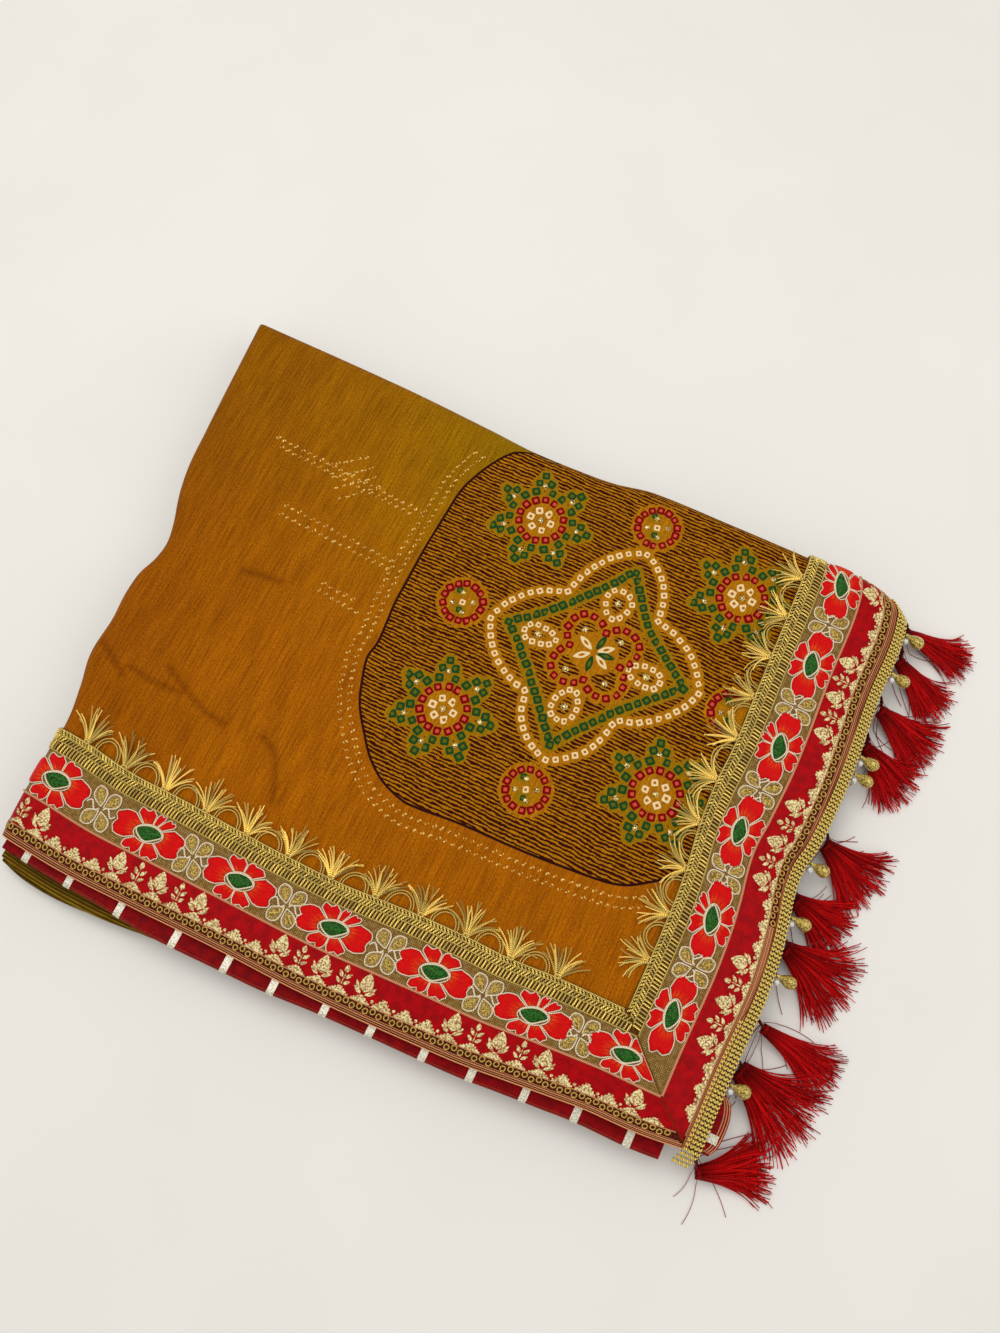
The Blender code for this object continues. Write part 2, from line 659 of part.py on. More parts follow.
def make_tassel(number, row, finish, group, helpers):
    """A silk tassel: a bound head hung from the braid, and locks that spread on the floor."""
    root_q, root_in, tip_x, tip_y, spread, neck = row
    root = braid_side(root_q, NECK_RADIUS) - Vector((root_in, 0, 0))
    head = Vector((root.x + neck, mix(root.y, tip_y, 0.16), HEAD_HEIGHT))
    if root_in:
        head.y = root.y - neck
    drop = (head - root).normalized()
    work = bmesh.new()
    stations = ((0, NECK_RADIUS), (0.62, 1.1), (0.8, TASSEL_HEAD), (1.1, TASSEL_HEAD), (1.3, 1.6))
    loft(work, [round_section(root.lerp(head, at), drop, radius, 6) for at, radius in stations])
    name = f"tassel_{number:02d}"
    made = finish_solid(name, work, finish, group)

    work = bmesh.new()
    run = Vector((tip_x - head.x, tip_y - head.y, 0))
    for i in range(TASSEL_STRANDS):
        share = i / (TASSEL_STRANDS - 1) - 0.5
        angle = math.atan2(run.y, run.x) + 2 * spread * share
        ahead = Vector((math.cos(angle), math.sin(angle), 0))
        upper = i % 2
        reach = run.length * (0.93 + 0.07 * math.cos(5 * i + number))
        start = head + Vector((0, 0, 0.4)) - ahead * 0.5
        middle = head + ahead * reach * 0.42
        middle.z = 4.2 + 2.4 * upper
        tip = head + ahead * reach
        tip.z = FLOOR_CLEAR + STRAND_WIDTH / 4 + 1.6 * upper
        bend = (tip - start).normalized()
        widths = (0.6, 1.0, 0.9)
        rings = []
        for place, width in zip((start, middle, tip), widths):
            rings.append(round_section(place, bend, STRAND_WIDTH / 2 * width, 3, math.pi / 2))
        loft(work, rings)
    strands = finish_solid(f"{name}_locks", work, finish, helpers)
    strands.hide_render = True
    strands.display_type = "WIRE"
    join = made.modifiers.new("join_locks", "BOOLEAN")
    join.operation = "UNION"
    join.object = strands
    join.use_self = True
    return made


# Places of the beads along the braid, from the far end to the corner
BEADS = (112, 66, 57, 8, -19, -46, -98.5)
BEAD_TOP = 0.7
BEAD_PROFILE = ((0, 0), (0.7, 0), (1.3, -1.2), (0.7, -2.4), (0.8, -3.2), (1.9, -5.2), (2.7, -8.4), (2.2, -11), (0, -12))
BEAD_LEAN = 0.9  # from straight down towards the outside, in radians


def make_bead(number, q, finish, group):
    """A drop bead with a small round bead above it, turned from one profile."""
    data = bpy.data.meshes.new(f"bead_drop_{number:02d}")
    work = bmesh.new()
    points = [work.verts.new((radius * MM, 0, z * MM)) for radius, z in BEAD_PROFILE]
    for first, second in zip(points, points[1:]):
        work.edges.new((first, second))
    work.to_mesh(data)
    work.free()
    made = new_object(data.name, data, finish, group)
    turned = made.modifiers.new("turn", "SCREW")
    turned.steps = 8
    turned.render_steps = 8
    turned.use_merge_vertices = True
    turned.merge_threshold = 0.0001
    top = braid_side(q, BEAD_TOP)
    made.location = (top - Vector((MIDDLE_X, MIDDLE_Y, 0))) * MM
    made.rotation_euler = (0, -BEAD_LEAN, 0)
    return made


def main():
    for old in list(bpy.data.objects):
        bpy.data.objects.remove(old)
    group = bpy.data.collections.new("folded_saree")
    helpers = bpy.data.collections.new("helpers")
    for made in (group, helpers):
        bpy.context.scene.collection.children.link(made)
    finishes = {
        "cloth": new_finish("mustard_cloth", (0.33, 0.13, 0.01), 0.7),
        "folds": new_finish("olive_folds", (0.16, 0.11, 0.01), 0.7),
        "zari": new_finish("red_zari", (0.5, 0.01, 0.01), 0.4),
        "lace": new_finish("flower_lace", (0.6, 0.06, 0.02), 0.55),
        "gimp": new_finish("gold_gimp", (0.55, 0.36, 0.08), 0.4, 0.6),
        "braid": new_finish("gold_braid", (0.5, 0.34, 0.08), 0.4, 0.6),
        "piping": new_finish("red_piping", (0.45, 0.01, 0.01), 0.45),
        "silk": new_finish("red_silk", (0.3, 0.0, 0.01), 0.45),
        "bead": new_finish("gold_glass", (0.4, 0.33, 0.05), 0.1),
    }
    make_hidden_folds(finishes["folds"], group)
    make_top_cloth(finishes["cloth"], group)
    make_bands(long_line, LONG_STEPS, "long", finishes, group)
    make_bands(pallu_line, PALLU_STEPS, "pallu", finishes, group)
    lace = finishes["lace"]
    make_flower_lace(long_place, long_line, LONG_STEPS, "long", FLOWERS_LONG, LEAVES_LONG, lace, group)
    make_flower_lace(pallu_place, pallu_line, PALLU_STEPS, "pallu", FLOWERS_PALLU, LEAVES_PALLU, lace, group)
    make_gimp_fans(long_place, "long", FANS_LONG, finishes["gimp"], group)
    make_gimp_fans(pallu_place, "pallu", FANS_PALLU, finishes["gimp"], group)
    make_braid(finishes["braid"], group)
    make_edge_piping(finishes["piping"], group)
    make_under_border_end(finishes["piping"], group)
    for number, row in enumerate(TASSELS, 1):
        make_tassel(number, row, finishes["silk"], group, helpers)
    for number, q in enumerate(BEADS, 1):
        make_bead(number, q, finishes["bead"], group)


main()
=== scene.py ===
# %% [markdown]
# # A folded bandhani saree
#
# A saree is one cloth, five or six metres long. Here it lies folded into a low stack, with the end that is
# worn over the shoulder (the pallu) on top. The frame holds the plain solids. The cells below make the
# finishes first, then the cloth and its folds, the borders, the braid, the piping, the tassels and beads, and
# last the tied spots, stones and foil.

# %% Load the frame
import json
import math

import bpy
import numpy as np
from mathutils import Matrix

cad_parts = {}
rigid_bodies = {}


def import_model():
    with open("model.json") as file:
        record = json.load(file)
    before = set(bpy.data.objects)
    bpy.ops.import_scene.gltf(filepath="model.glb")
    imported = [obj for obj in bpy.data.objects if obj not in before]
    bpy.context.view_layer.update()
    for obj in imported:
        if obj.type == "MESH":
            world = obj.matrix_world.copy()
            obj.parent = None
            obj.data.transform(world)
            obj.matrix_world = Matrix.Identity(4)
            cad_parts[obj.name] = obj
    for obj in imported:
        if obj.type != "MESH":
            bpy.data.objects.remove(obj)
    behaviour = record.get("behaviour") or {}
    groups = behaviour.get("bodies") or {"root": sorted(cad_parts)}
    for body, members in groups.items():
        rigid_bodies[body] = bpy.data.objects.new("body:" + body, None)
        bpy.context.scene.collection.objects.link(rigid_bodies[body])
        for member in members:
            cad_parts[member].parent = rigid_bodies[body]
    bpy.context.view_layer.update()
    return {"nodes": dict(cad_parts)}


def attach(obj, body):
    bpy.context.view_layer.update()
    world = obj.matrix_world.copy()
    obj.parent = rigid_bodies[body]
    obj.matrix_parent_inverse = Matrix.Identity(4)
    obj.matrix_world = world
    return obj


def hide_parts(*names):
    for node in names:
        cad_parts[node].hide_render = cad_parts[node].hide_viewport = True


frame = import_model()
print("nodes in the frame:", len(frame["nodes"]))

# %% [markdown]
# ## The shape of the cloth
#
# Every piece lies on one curved surface, so the surface is written as a function. A cloth place is (p, q):
# p runs along the bordered long edge and q runs across it, both in millimetres. Guide lines give the outline
# of the stack, and soft hills and creases give its relief. The numbers are the same as in the plain solids,
# so whatever is placed by them lies where the solids are. All of it works on whole arrays at once.

# %% Measures and guide lines
MM = 0.001
# The point, in cloth places, that lies at the part's origin
MIDDLE = np.array([20.01, -4.1, 0.0])
CLOTH_FACE = 26.0
FOLD_RADIUS = 8.0
FOLD_TURN = 1.9
EDGE_SLOPE = 26.0
NEAR_SINK = 4.0
RIGHT_SINK = 3.5
BORDER_DEPTH = 51.5
CORNER_P = 179.0
MITRE_RUN = 48.0
SEAM = 0.3

LEFT_FOLD = (
    (-147, -166), (-118, -166.5), (-99, -167), (-82, -168.5), (-70, -171.5), (-58, -175), (-48, -176),
    (-33, -175.5), (-18, -177), (-5, -176.5), (5, -173.5), (15, -172.5), (26, -175), (41, -180.5),
    (58, -184.5), (77, -186.5), (97, -188.5), (120, -190.5), (149, -193),
)
FAR_FOLD = (
    (-193, 149), (-104, 148), (-50, 145.5), (-27, 144), (0, 144.5), (20, 146), (40, 150), (81, 151),
    (131, 151.5), (158, 151.5), (170, 149), (179, 144),
)
NEAR_EDGE = (
    (-166, -147), (-130, -149), (-90, -148.5), (-46, -147.5), (-10, -147.5), (20, -146.5), (50, -144.8),
    (75, -143), (95, -140.5), (115, -138), (131, -136), (157, -134.5), (179, -131.5),
)
RIGHT_EDGE = (
    (-131.5, 179), (-100, 179), (-85, 179.5), (-60, 180.5), (-39, 179.5), (-24, 177.5), (-10, 175),
    (3, 174.5), (16, 177), (39, 178.5), (62, 178.5), (94, 177), (124, 177.5), (140, 175.5), (149, 171),
)
FAN_ROOT_LONG = (
    (-166, -90), (-149, -91), (-124, -94), (-93, -94.5), (-46, -96), (-10, -96), (4, -95), (28, -93),
    (51, -92), (74, -92), (99, -90), (131, -89),
)
FAN_ROOT_PALLU = (
    (-89, 131), (-47, 131), (-22, 130), (-1, 127.5), (21, 126.5), (43, 127.5), (67, 127), (89, 126.5),
    (114, 126), (149, 125),
)
# Soft hills and hollows: (x, y, height, reach along x, reach along y)
SWELLS = (
    (-152, -42, 1.6, 26, 20), (-150, 4, -1.2, 22, 16), (-120, 60, 0.8, 50, 40), (-60, -30, 0.7, 45, 40),
    (40, 60, 0.6, 60, 50), (-120, -78, -0.8, 30, 12), (150, 3, -0.7, 30, 22), (-10, -130, 0.6, 50, 20),
    (90, -120, -0.6, 40, 20), (-110, -135, 0.7, 30, 16),
)
# Creases: (x, y at one end, x, y at the other, depth, half width). The first four are the solids' own
CREASES = (
    (-176, -62, -150, -72, 1.3, 7), (-140, -42, -108, -76, 1.1, 8), (-78, -58, -72, -82, 0.8, 7),
    (-112, 22, -88, 24, 0.5, 7), (-171, -44, -153, -56, 0.5, 3.0), (-153, -49, -124, -52, 0.6, 3.0),
    (-136, -42, -98, -56, 0.7, 3.5), (-77, -52, -68, -57, 0.4, 3.0), (-68, -57, -57, -77, 0.6, 2.6),
    (-129, 17, -107, 21, 0.35, 3.5), (2, 139, 16, 141, 0.3, 2.5), (20, 140, 34, 136, 0.3, 3.0),
)


def mix(first, second, share):
    return first + (second - first) * share


def read(table, at):
    """A smooth curve through a guide line's rows, for a whole array of places, level beyond its ends."""
    keys, values = np.array(table, dtype=float).T
    at = np.clip(at, keys[0], keys[-1])
    row = np.clip(np.searchsorted(keys, at, side="right") - 1, 0, len(keys) - 2)
    before = np.maximum(row - 1, 0)
    after = np.minimum(row + 2, len(keys) - 1)
    length = keys[row + 1] - keys[row]
    slope_in = (values[row + 1] - values[before]) / (keys[row + 1] - keys[before])
    slope_out = (values[after] - values[row]) / (keys[after] - keys[row])
    t = (at - keys[row]) / length
    curve = (2 * t**3 - 3 * t**2 + 1) * values[row] + (3 * t**2 - 2 * t**3) * values[row + 1]
    return curve + ((t**3 - 2 * t**2 + t) * slope_in + (t**3 - t**2) * slope_out) * length


# %% The surface itself
def relief_of_cloth(x, y):
    """How far the hills lift the cloth and the creases sink it."""
    height = np.zeros_like(x)
    for middle_x, middle_y, rise, reach_x, reach_y in SWELLS:
        height += rise * np.exp(-(((x - middle_x) / reach_x) ** 2) - ((y - middle_y) / reach_y) ** 2)
    for start_x, start_y, end_x, end_y, depth, half_width in CREASES:
        run_x, run_y = end_x - start_x, end_y - start_y
        share = np.clip(((x - start_x) * run_x + (y - start_y) * run_y) / (run_x**2 + run_y**2), 0, 1)
        aside = np.hypot(x - start_x - run_x * share, y - start_y - run_y * share) / half_width
        height -= depth * np.exp(-aside * aside)
    return height


def skin(p, q):
    """Points of the cloth's outer face, which rolls down past the left and far folds."""
    p, q = np.broadcast_arrays(np.asarray(p, float), np.asarray(q, float))
    left = read(LEFT_FOLD, q)
    far = read(FAR_FOLD, p)
    turn_left = np.maximum(0, (left + FOLD_RADIUS - p) / FOLD_RADIUS)
    turn_far = np.maximum(0, (q - far + FOLD_RADIUS) / FOLD_RADIUS)
    x = np.where(turn_left > 0, left + FOLD_RADIUS * (1 - np.sin(turn_left)), p)
    y = np.where(turn_far > 0, far - FOLD_RADIUS * (1 - np.sin(turn_far)), q)
    roll_left = FOLD_RADIUS * (1 - np.cos(turn_left))
    roll_far = FOLD_RADIUS * (1 - np.cos(turn_far))
    roll = np.cbrt(roll_left**3 + roll_far**3)
    near_share = np.maximum(0, 1 - (q - read(NEAR_EDGE, p)) / EDGE_SLOPE)
    right_share = np.maximum(0, 1 - (read(RIGHT_EDGE, q) - p) / EDGE_SLOPE)
    sink = np.cbrt((NEAR_SINK * near_share**2) ** 3 + (RIGHT_SINK * right_share**2) ** 3)
    return np.stack([x, y, CLOTH_FACE + relief_of_cloth(x, y) - roll - sink], axis=-1)


def normal_of_cloth(p, q, step=0.5):
    along = skin(p + step, q) - skin(p - step, q)
    across = skin(p, q + step) - skin(p, q - step)
    upright = np.cross(along, across)
    return upright / np.linalg.norm(upright, axis=-1, keepdims=True)


def on_cloth(p, q, out=0.0):
    """Points at height `out` above the cloth's face, along the face's own normal."""
    p, q = np.broadcast_arrays(np.asarray(p, float), np.asarray(q, float))
    return skin(p, q) + normal_of_cloth(p, q) * np.asarray(out, float)[..., None]


print("cloth height at the middle:", round(float(skin(0.0, 0.0)[2]), 2), "mm")

# %% [markdown]
# ## From points to pieces
#
# Most pieces are thin closed skins over a grid of cloth places. A grid is easy to number, and a closed skin
# keeps its faces pointing out. Each piece carries its cloth place as a UV map, in metres, so that a weave
# follows the cloth, and a tint for each point where one finish serves several colours.


# %% Helpers that turn grids into pieces
SHARP_ANGLE = math.radians(55)
# A longer list of faces than twice this is only sampled to see which way it faces
SAMPLED_FACES = 4000


def grid_faces(rows, columns):
    """Quads over a grid of points numbered row by row."""
    return [
        (j * columns + i, j * columns + i + 1, (j + 1) * columns + i + 1, (j + 1) * columns + i)
        for j in range(rows - 1)
        for i in range(columns - 1)
    ]


def ring_faces(rings, count):
    """Quads between closed rings of points numbered ring by ring."""
    return [
        (j * count + i, j * count + (i + 1) % count, (j + 1) * count + (i + 1) % count, (j + 1) * count + i)
        for j in range(rings - 1)
        for i in range(count)
    ]


def capped_ring_faces(rings, count):
    """Quads between rings, closed at both ends on two more points, numbered after the rings."""
    faces = ring_faces(rings, count)
    last = (rings - 1) * count
    first_cap = rings * count
    for i in range(count):
        faces.append(((i + 1) % count, i, first_cap))
        faces.append((last + i, last + (i + 1) % count, first_cap + 1))
    return faces


def facing_out(points, faces):
    """The same faces, turned round if they enclose a negative volume."""
    volume = 0.0
    step = len(faces) // SAMPLED_FACES if len(faces) > 2 * SAMPLED_FACES else 1
    for face in faces[::step]:
        a = points[face[0]]
        for b, c in zip(face[1:], face[2:]):
            volume += np.dot(a, np.cross(points[b], points[c]))
    return faces if volume > 0 else [face[::-1] for face in faces]


def skin_part(top, bottom, place, tint=(1, 1, 1, 1)):
    """A closed skin between two grids of points; `place` is the grid of (p, q) for its UV map."""
    rows, columns = top.shape[:2]
    count = rows * columns
    faces = grid_faces(rows, columns)
    under = [tuple(i + count for i in face[::-1]) for face in faces]
    rim = list(range(columns))
    rim += [j * columns + columns - 1 for j in range(1, rows)]
    rim += [(rows - 1) * columns + i for i in range(columns - 2, -1, -1)]
    rim += [j * columns for j in range(rows - 2, 0, -1)]
    sides = [(b, a, a + count, b + count) for a, b in zip(rim, rim[1:] + rim[:1])]
    points = np.concatenate([top.reshape(-1, 3), bottom.reshape(-1, 3)])
    flat = place.reshape(-1, 2)
    middle = points - points.mean(axis=0)
    return points, facing_out(middle, faces + under + sides), np.concatenate([flat, flat]) * MM, tint


def slab(p, q, low, high, tint=(1, 1, 1, 1)):
    """A closed skin over cloth places, from `low` to `high` above the cloth."""
    p, q = np.broadcast_arrays(p, q)
    return skin_part(on_cloth(p, q, high), on_cloth(p, q, low), np.stack([p, q], axis=-1), tint)


def make_piece(name, parts, finish, extra=None):
    """One finished piece from its parts, in the row frame, in metres."""
    points, faces, uvs, tints = [], [], [], []
    start = 0
    for part_points, part_faces, part_uv, part_tint in parts:
        points.append(part_points)
        faces += [tuple(i + start for i in face) for face in part_faces]
        uvs.append(part_uv)
        tints.append(np.broadcast_to(np.asarray(part_tint, float), (len(part_points), 4)))
        start += len(part_points)
    data = bpy.data.meshes.new(name)
    data.from_pydata(((np.concatenate(points) - MIDDLE) * MM).tolist(), [], faces)
    corners = np.empty(len(data.loops), dtype=np.int32)
    data.loops.foreach_get("vertex_index", corners)
    uv_map = data.uv_layers.new(name="cloth")
    uv_map.data.foreach_set("uv", np.concatenate(uvs)[corners].ravel())
    tint_map = data.color_attributes.new("tint", "FLOAT_COLOR", "POINT")
    tint_map.data.foreach_set("color", np.concatenate(tints).ravel())
    for key, values in (extra or {}).items():
        data.attributes.new(key, "FLOAT", "POINT").data.foreach_set("value", values)
    return finish_piece(name, data, finish)


def finish_piece(name, data, finish):
    """Shades a mesh smoothly, gives it its finish and lets it ride on the saree."""
    data.name = name
    data.materials.clear()
    data.materials.append(finish)
    data.shade_smooth()
    data.set_sharp_from_angle(angle=SHARP_ANGLE)
    piece = bpy.data.objects.new(name, data)
    bpy.context.scene.collection.objects.link(piece)
    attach(piece, "root")
    print(name, len(data.polygons), "faces")
    return piece


# %% [markdown]
# ## Two node trees for small repeats
#
# Embroidery repeats a few small shapes thousands of times. One tree sets a stamp on every point of a list,
# turned to lie on the cloth. The other sweeps a round thread along every path of a list. Both end in real
# meshes rather than instances.


# %% Tree that sets a stamp on every place
def add_node(tree, kind, inputs=None, **settings):
    """Adds a node; `inputs` gives each socket a value or another node's output."""
    node = tree.nodes.new(kind)
    for key, value in settings.items():
        setattr(node, key, value)
    for socket, value in (inputs or {}).items():
        if isinstance(value, bpy.types.NodeSocket):
            tree.links.new(value, node.inputs[socket])
        else:
            node.inputs[socket].default_value = value
    return node


def new_tree(name, inputs):
    tree = bpy.data.node_groups.new(name, "GeometryNodeTree")
    tree.interface.new_socket("Geometry", in_out="INPUT", socket_type="NodeSocketGeometry")
    for socket, kind in inputs:
        tree.interface.new_socket(socket, in_out="INPUT", socket_type=kind)
    tree.interface.new_socket("Geometry", in_out="OUTPUT", socket_type="NodeSocketGeometry")
    return tree, tree.nodes.new("NodeGroupInput").outputs


def close_tree(tree, geometry, finish):
    real = add_node(tree, "GeometryNodeRealizeInstances", {"Geometry": geometry})
    painted = add_node(tree, "GeometryNodeSetMaterial", {"Geometry": real.outputs[0], "Material": finish})
    add_node(tree, "NodeGroupOutput", {"Geometry": painted.outputs[0]})


def named(tree, name, kind):
    """A value that the points carry under this name."""
    found = add_node(tree, "GeometryNodeInputNamedAttribute", {"Name": name}, data_type=kind)
    return found.outputs["Attribute"]


stamp_tree, given = new_tree(
    "stamps_on_places", [("Stamp", "NodeSocketObject"), ("Finish", "NodeSocketMaterial")])
stamp = add_node(stamp_tree, "GeometryNodeObjectInfo", {"Object": given["Stamp"]}).outputs["Geometry"]
turn = add_node(
    stamp_tree, "FunctionNodeAxesToRotation",
    {"Primary Axis": named(stamp_tree, "upright", "FLOAT_VECTOR"),
     "Secondary Axis": named(stamp_tree, "ahead", "FLOAT_VECTOR")},
    primary_axis="Z", secondary_axis="X",
)
placed = add_node(
    stamp_tree, "GeometryNodeInstanceOnPoints",
    {"Points": given["Geometry"], "Instance": stamp, "Rotation": turn.outputs[0],
     "Scale": named(stamp_tree, "size", "FLOAT_VECTOR")},
)
close_tree(stamp_tree, placed.outputs[0], given["Finish"])

# %% Tree that sweeps a thread along every path
thread_tree, given = new_tree(
    "threads_on_paths", [("Sides", "NodeSocketInt"), ("Finish", "NodeSocketMaterial")])
paths = add_node(thread_tree, "GeometryNodeMeshToCurve", {"Mesh": given["Geometry"]}).outputs[0]
length = add_node(thread_tree, "GeometryNodeSplineParameter").outputs["Length"]
paths = add_node(
    thread_tree, "GeometryNodeStoreNamedAttribute", {"Geometry": paths, "Name": "along", "Value": length},
    data_type="FLOAT", domain="POINT",
).outputs[0]
ring = add_node(
    thread_tree, "GeometryNodeCurvePrimitiveCircle", {"Resolution": given["Sides"], "Radius": 1.0}
).outputs[0]
around = add_node(thread_tree, "GeometryNodeInputPosition").outputs[0]
ring = add_node(
    thread_tree, "GeometryNodeStoreNamedAttribute", {"Geometry": ring, "Name": "around", "Value": around},
    data_type="FLOAT_VECTOR", domain="POINT",
).outputs[0]
swept = add_node(
    thread_tree, "GeometryNodeCurveToMesh",
    {"Curve": paths, "Profile Curve": ring, "Scale": named(thread_tree, "thick", "FLOAT"), "Fill Caps": True},
).outputs[0]
close_tree(thread_tree, swept, given["Finish"])


# %% Helpers that run the two trees
def run_tree(carrier_data, tree, settings):
    """Runs a tree on a carrier mesh and returns the plain mesh that it makes."""
    carrier = bpy.data.objects.new("carrier", carrier_data)
    bpy.context.scene.collection.objects.link(carrier)
    modifier = carrier.modifiers.new("tree", "NODES")
    modifier.node_group = tree
    for item in tree.interface.items_tree:
        if item.in_out == "INPUT" and item.name in settings:
            modifier[item.identifier] = settings[item.name]
    carrier.data.update()
    bpy.context.view_layer.update()
    view = bpy.context.evaluated_depsgraph_get()
    made = bpy.data.meshes.new_from_object(carrier.evaluated_get(view))
    bpy.data.objects.remove(carrier)
    return made


def fill_attribute(data, name, kind, values):
    field = {"FLOAT": "value", "FLOAT_VECTOR": "vector", "FLOAT_COLOR": "color"}[kind]
    data.attributes.new(name, kind, "POINT").data.foreach_set(field, np.asarray(values, float).ravel())


def stamp_all(name, stamp_object, places, finish):
    """One piece from a list of (point, ahead, upright, size, tint, heart)."""
    carrier = bpy.data.meshes.new(name)
    carrier.from_pydata([((place[0] - MIDDLE) * MM).tolist() for place in places], [], [])
    fields = (("ahead", "FLOAT_VECTOR"), ("upright", "FLOAT_VECTOR"), ("size", "FLOAT_VECTOR"),
              ("tint", "FLOAT_COLOR"), ("heart", "FLOAT_COLOR"))
    for number, (key, kind) in enumerate(fields, 1):
        fill_attribute(carrier, key, kind, [place[number] for place in places])
    made = run_tree(carrier, stamp_tree, {"Stamp": stamp_object, "Finish": finish})
    return finish_piece(name, made, finish)


def thread_all(name, threads, sides, finish):
    """One piece from a list of (path in millimetres, radii in millimetres, tint)."""
    points, edges, radii, tints = [], [], [], []
    first = 0
    for path, thick, tint in threads:
        points.append(path)
        edges += [(first + i, first + i + 1) for i in range(len(path) - 1)]
        first += len(path)
        radii.append(np.broadcast_to(np.asarray(thick, float), (len(path),)))
        tints.append(np.broadcast_to(np.asarray(tint, float), (len(path), 4)))
    carrier = bpy.data.meshes.new(name)
    carrier.from_pydata(((np.concatenate(points) - MIDDLE) * MM).tolist(), edges, [])
    fill_attribute(carrier, "thick", "FLOAT", np.concatenate(radii) * MM)
    fill_attribute(carrier, "tint", "FLOAT_COLOR", np.concatenate(tints))
    made = run_tree(carrier, thread_tree, {"Sides": sides, "Finish": finish})
    return finish_piece(name, made, finish)


# %% [markdown]
# ## Finishes
#
# Colours are written as they look on a screen, from 0 to 255, and turned into the renderer's own scale. A few
# effects serve many finishes, so they are node groups: a plain weave, long silk streaks, and the diagonal
# shading of a twisted thread. The Principled shader stays in each finish.


# %% Small helpers for shader nodes
WHITE = (1, 1, 1, 1)
IN_MM = (1000, 1000, 1000)


def paint(red, green, blue):
    """A screen colour as linear red, green, blue and alpha."""
    linear = [((c / 255 + 0.055) / 1.055) ** 2.4 if c > 10 else c / 255 / 12.92 for c in (red, green, blue)]
    return (*linear, 1)


def grey(tone):
    return (tone, tone, tone, 1)


def calc(tree, operation, first, second=0.0, third=0.0):
    return add_node(tree, "ShaderNodeMath", {0: first, 1: second, 2: third}, operation=operation).outputs[0]


def times(tree, first, second):
    return calc(tree, "MULTIPLY", first, second)


def plus(tree, first, second):
    return calc(tree, "ADD", first, second)


def minus(tree, first, second):
    return calc(tree, "SUBTRACT", first, second)


def blend_tones(tree, share, first, second, way="MIX"):
    inputs = {0: share, 6: first, 7: second}
    return add_node(tree, "ShaderNodeMix", inputs, data_type="RGBA", blend_type=way).outputs[2]


def tinted(tree, colour, by):
    """One colour multiplied by another."""
    return blend_tones(tree, 1.0, colour, by, "MULTIPLY")


def parts_of(tree, place):
    """The x, y and z of a place."""
    return add_node(tree, "ShaderNodeSeparateXYZ", {0: place}).outputs


def stretch(tree, place, by):
    return add_node(tree, "ShaderNodeVectorMath", {0: place, 1: by}, operation="MULTIPLY").outputs[0]


def noise(tree, place, scale, detail=2.0, roughness=0.5):
    inputs = {"Vector": place, "Scale": scale, "Detail": detail, "Roughness": roughness}
    return add_node(tree, "ShaderNodeTexNoise", inputs).outputs[0]


def between(tree, value, low, high):
    """0 below `low`, 1 above `high`, smooth in between."""
    inputs = {"Value": value, "From Min": low, "From Max": high}
    return add_node(tree, "ShaderNodeMapRange", inputs, interpolation_type="SMOOTHSTEP").outputs[0]


def attribute(tree, name):
    return add_node(tree, "ShaderNodeAttribute", attribute_name=name).outputs


def new_finish(name, roughness, metallic=0.0, gloss=0.08):
    finish = bpy.data.materials.new(name)
    finish.use_nodes = True
    tree = finish.node_tree
    shader = tree.nodes["Principled BSDF"]
    shader.inputs["Roughness"].default_value = roughness
    shader.inputs["Metallic"].default_value = metallic
    shader.inputs["Specular IOR Level"].default_value = gloss
    return finish, tree, shader


def connect(tree, shader, colour, height=None, depth=0.1):
    """Wires a colour, and a height in millimetres as a bump, into a finish."""
    tree.links.new(colour, shader.inputs["Base Color"])
    if height is not None:
        inputs = {"Height": height, "Distance": depth * MM, "Strength": 1.0}
        bump = add_node(tree, "ShaderNodeBump", inputs)
        tree.links.new(bump.outputs[0], shader.inputs["Normal"])


def millimetres(tree):
    """The cloth place from the UV map, in millimetres."""
    return stretch(tree, add_node(tree, "ShaderNodeUVMap", uv_map="cloth").outputs[0], IN_MM)


def on_piece(tree):
    """The place on the piece itself, in millimetres."""
    return stretch(tree, add_node(tree, "ShaderNodeTexCoord").outputs["Object"], IN_MM)


# %% Shared effects as node groups
def new_effect(name, inputs, outputs):
    group = bpy.data.node_groups.new(name, "ShaderNodeTree")
    for socket, kind, value in inputs:
        made = group.interface.new_socket(socket, in_out="INPUT", socket_type=kind)
        if value is not None:
            made.default_value = value
    for socket in outputs:
        group.interface.new_socket(socket, in_out="OUTPUT", socket_type="NodeSocketFloat")
    return group, group.nodes.new("NodeGroupInput").outputs


# Plain weave: warp and weft threads take turns on top
weave, given = new_effect(
    "plain_weave",
    [("Place", "NodeSocketVector", None), ("Warp pitch", "NodeSocketFloat", 0.4),
     ("Weft pitch", "NodeSocketFloat", 0.4)],
    ["Height"],
)
split = parts_of(weave, given["Place"])
warp = calc(weave, "SINE", times(weave, calc(weave, "DIVIDE", split[0], given["Warp pitch"]), math.tau))
weft = calc(weave, "SINE", times(weave, calc(weave, "DIVIDE", split[1], given["Weft pitch"]), math.tau))
crossed = times(weave, warp, weft)
rough = noise(weave, given["Place"], 1.7, 3.0)
weave_height = plus(weave, times(weave, crossed, 0.25), rough)
add_node(weave, "NodeGroupOutput", {"Height": weave_height})

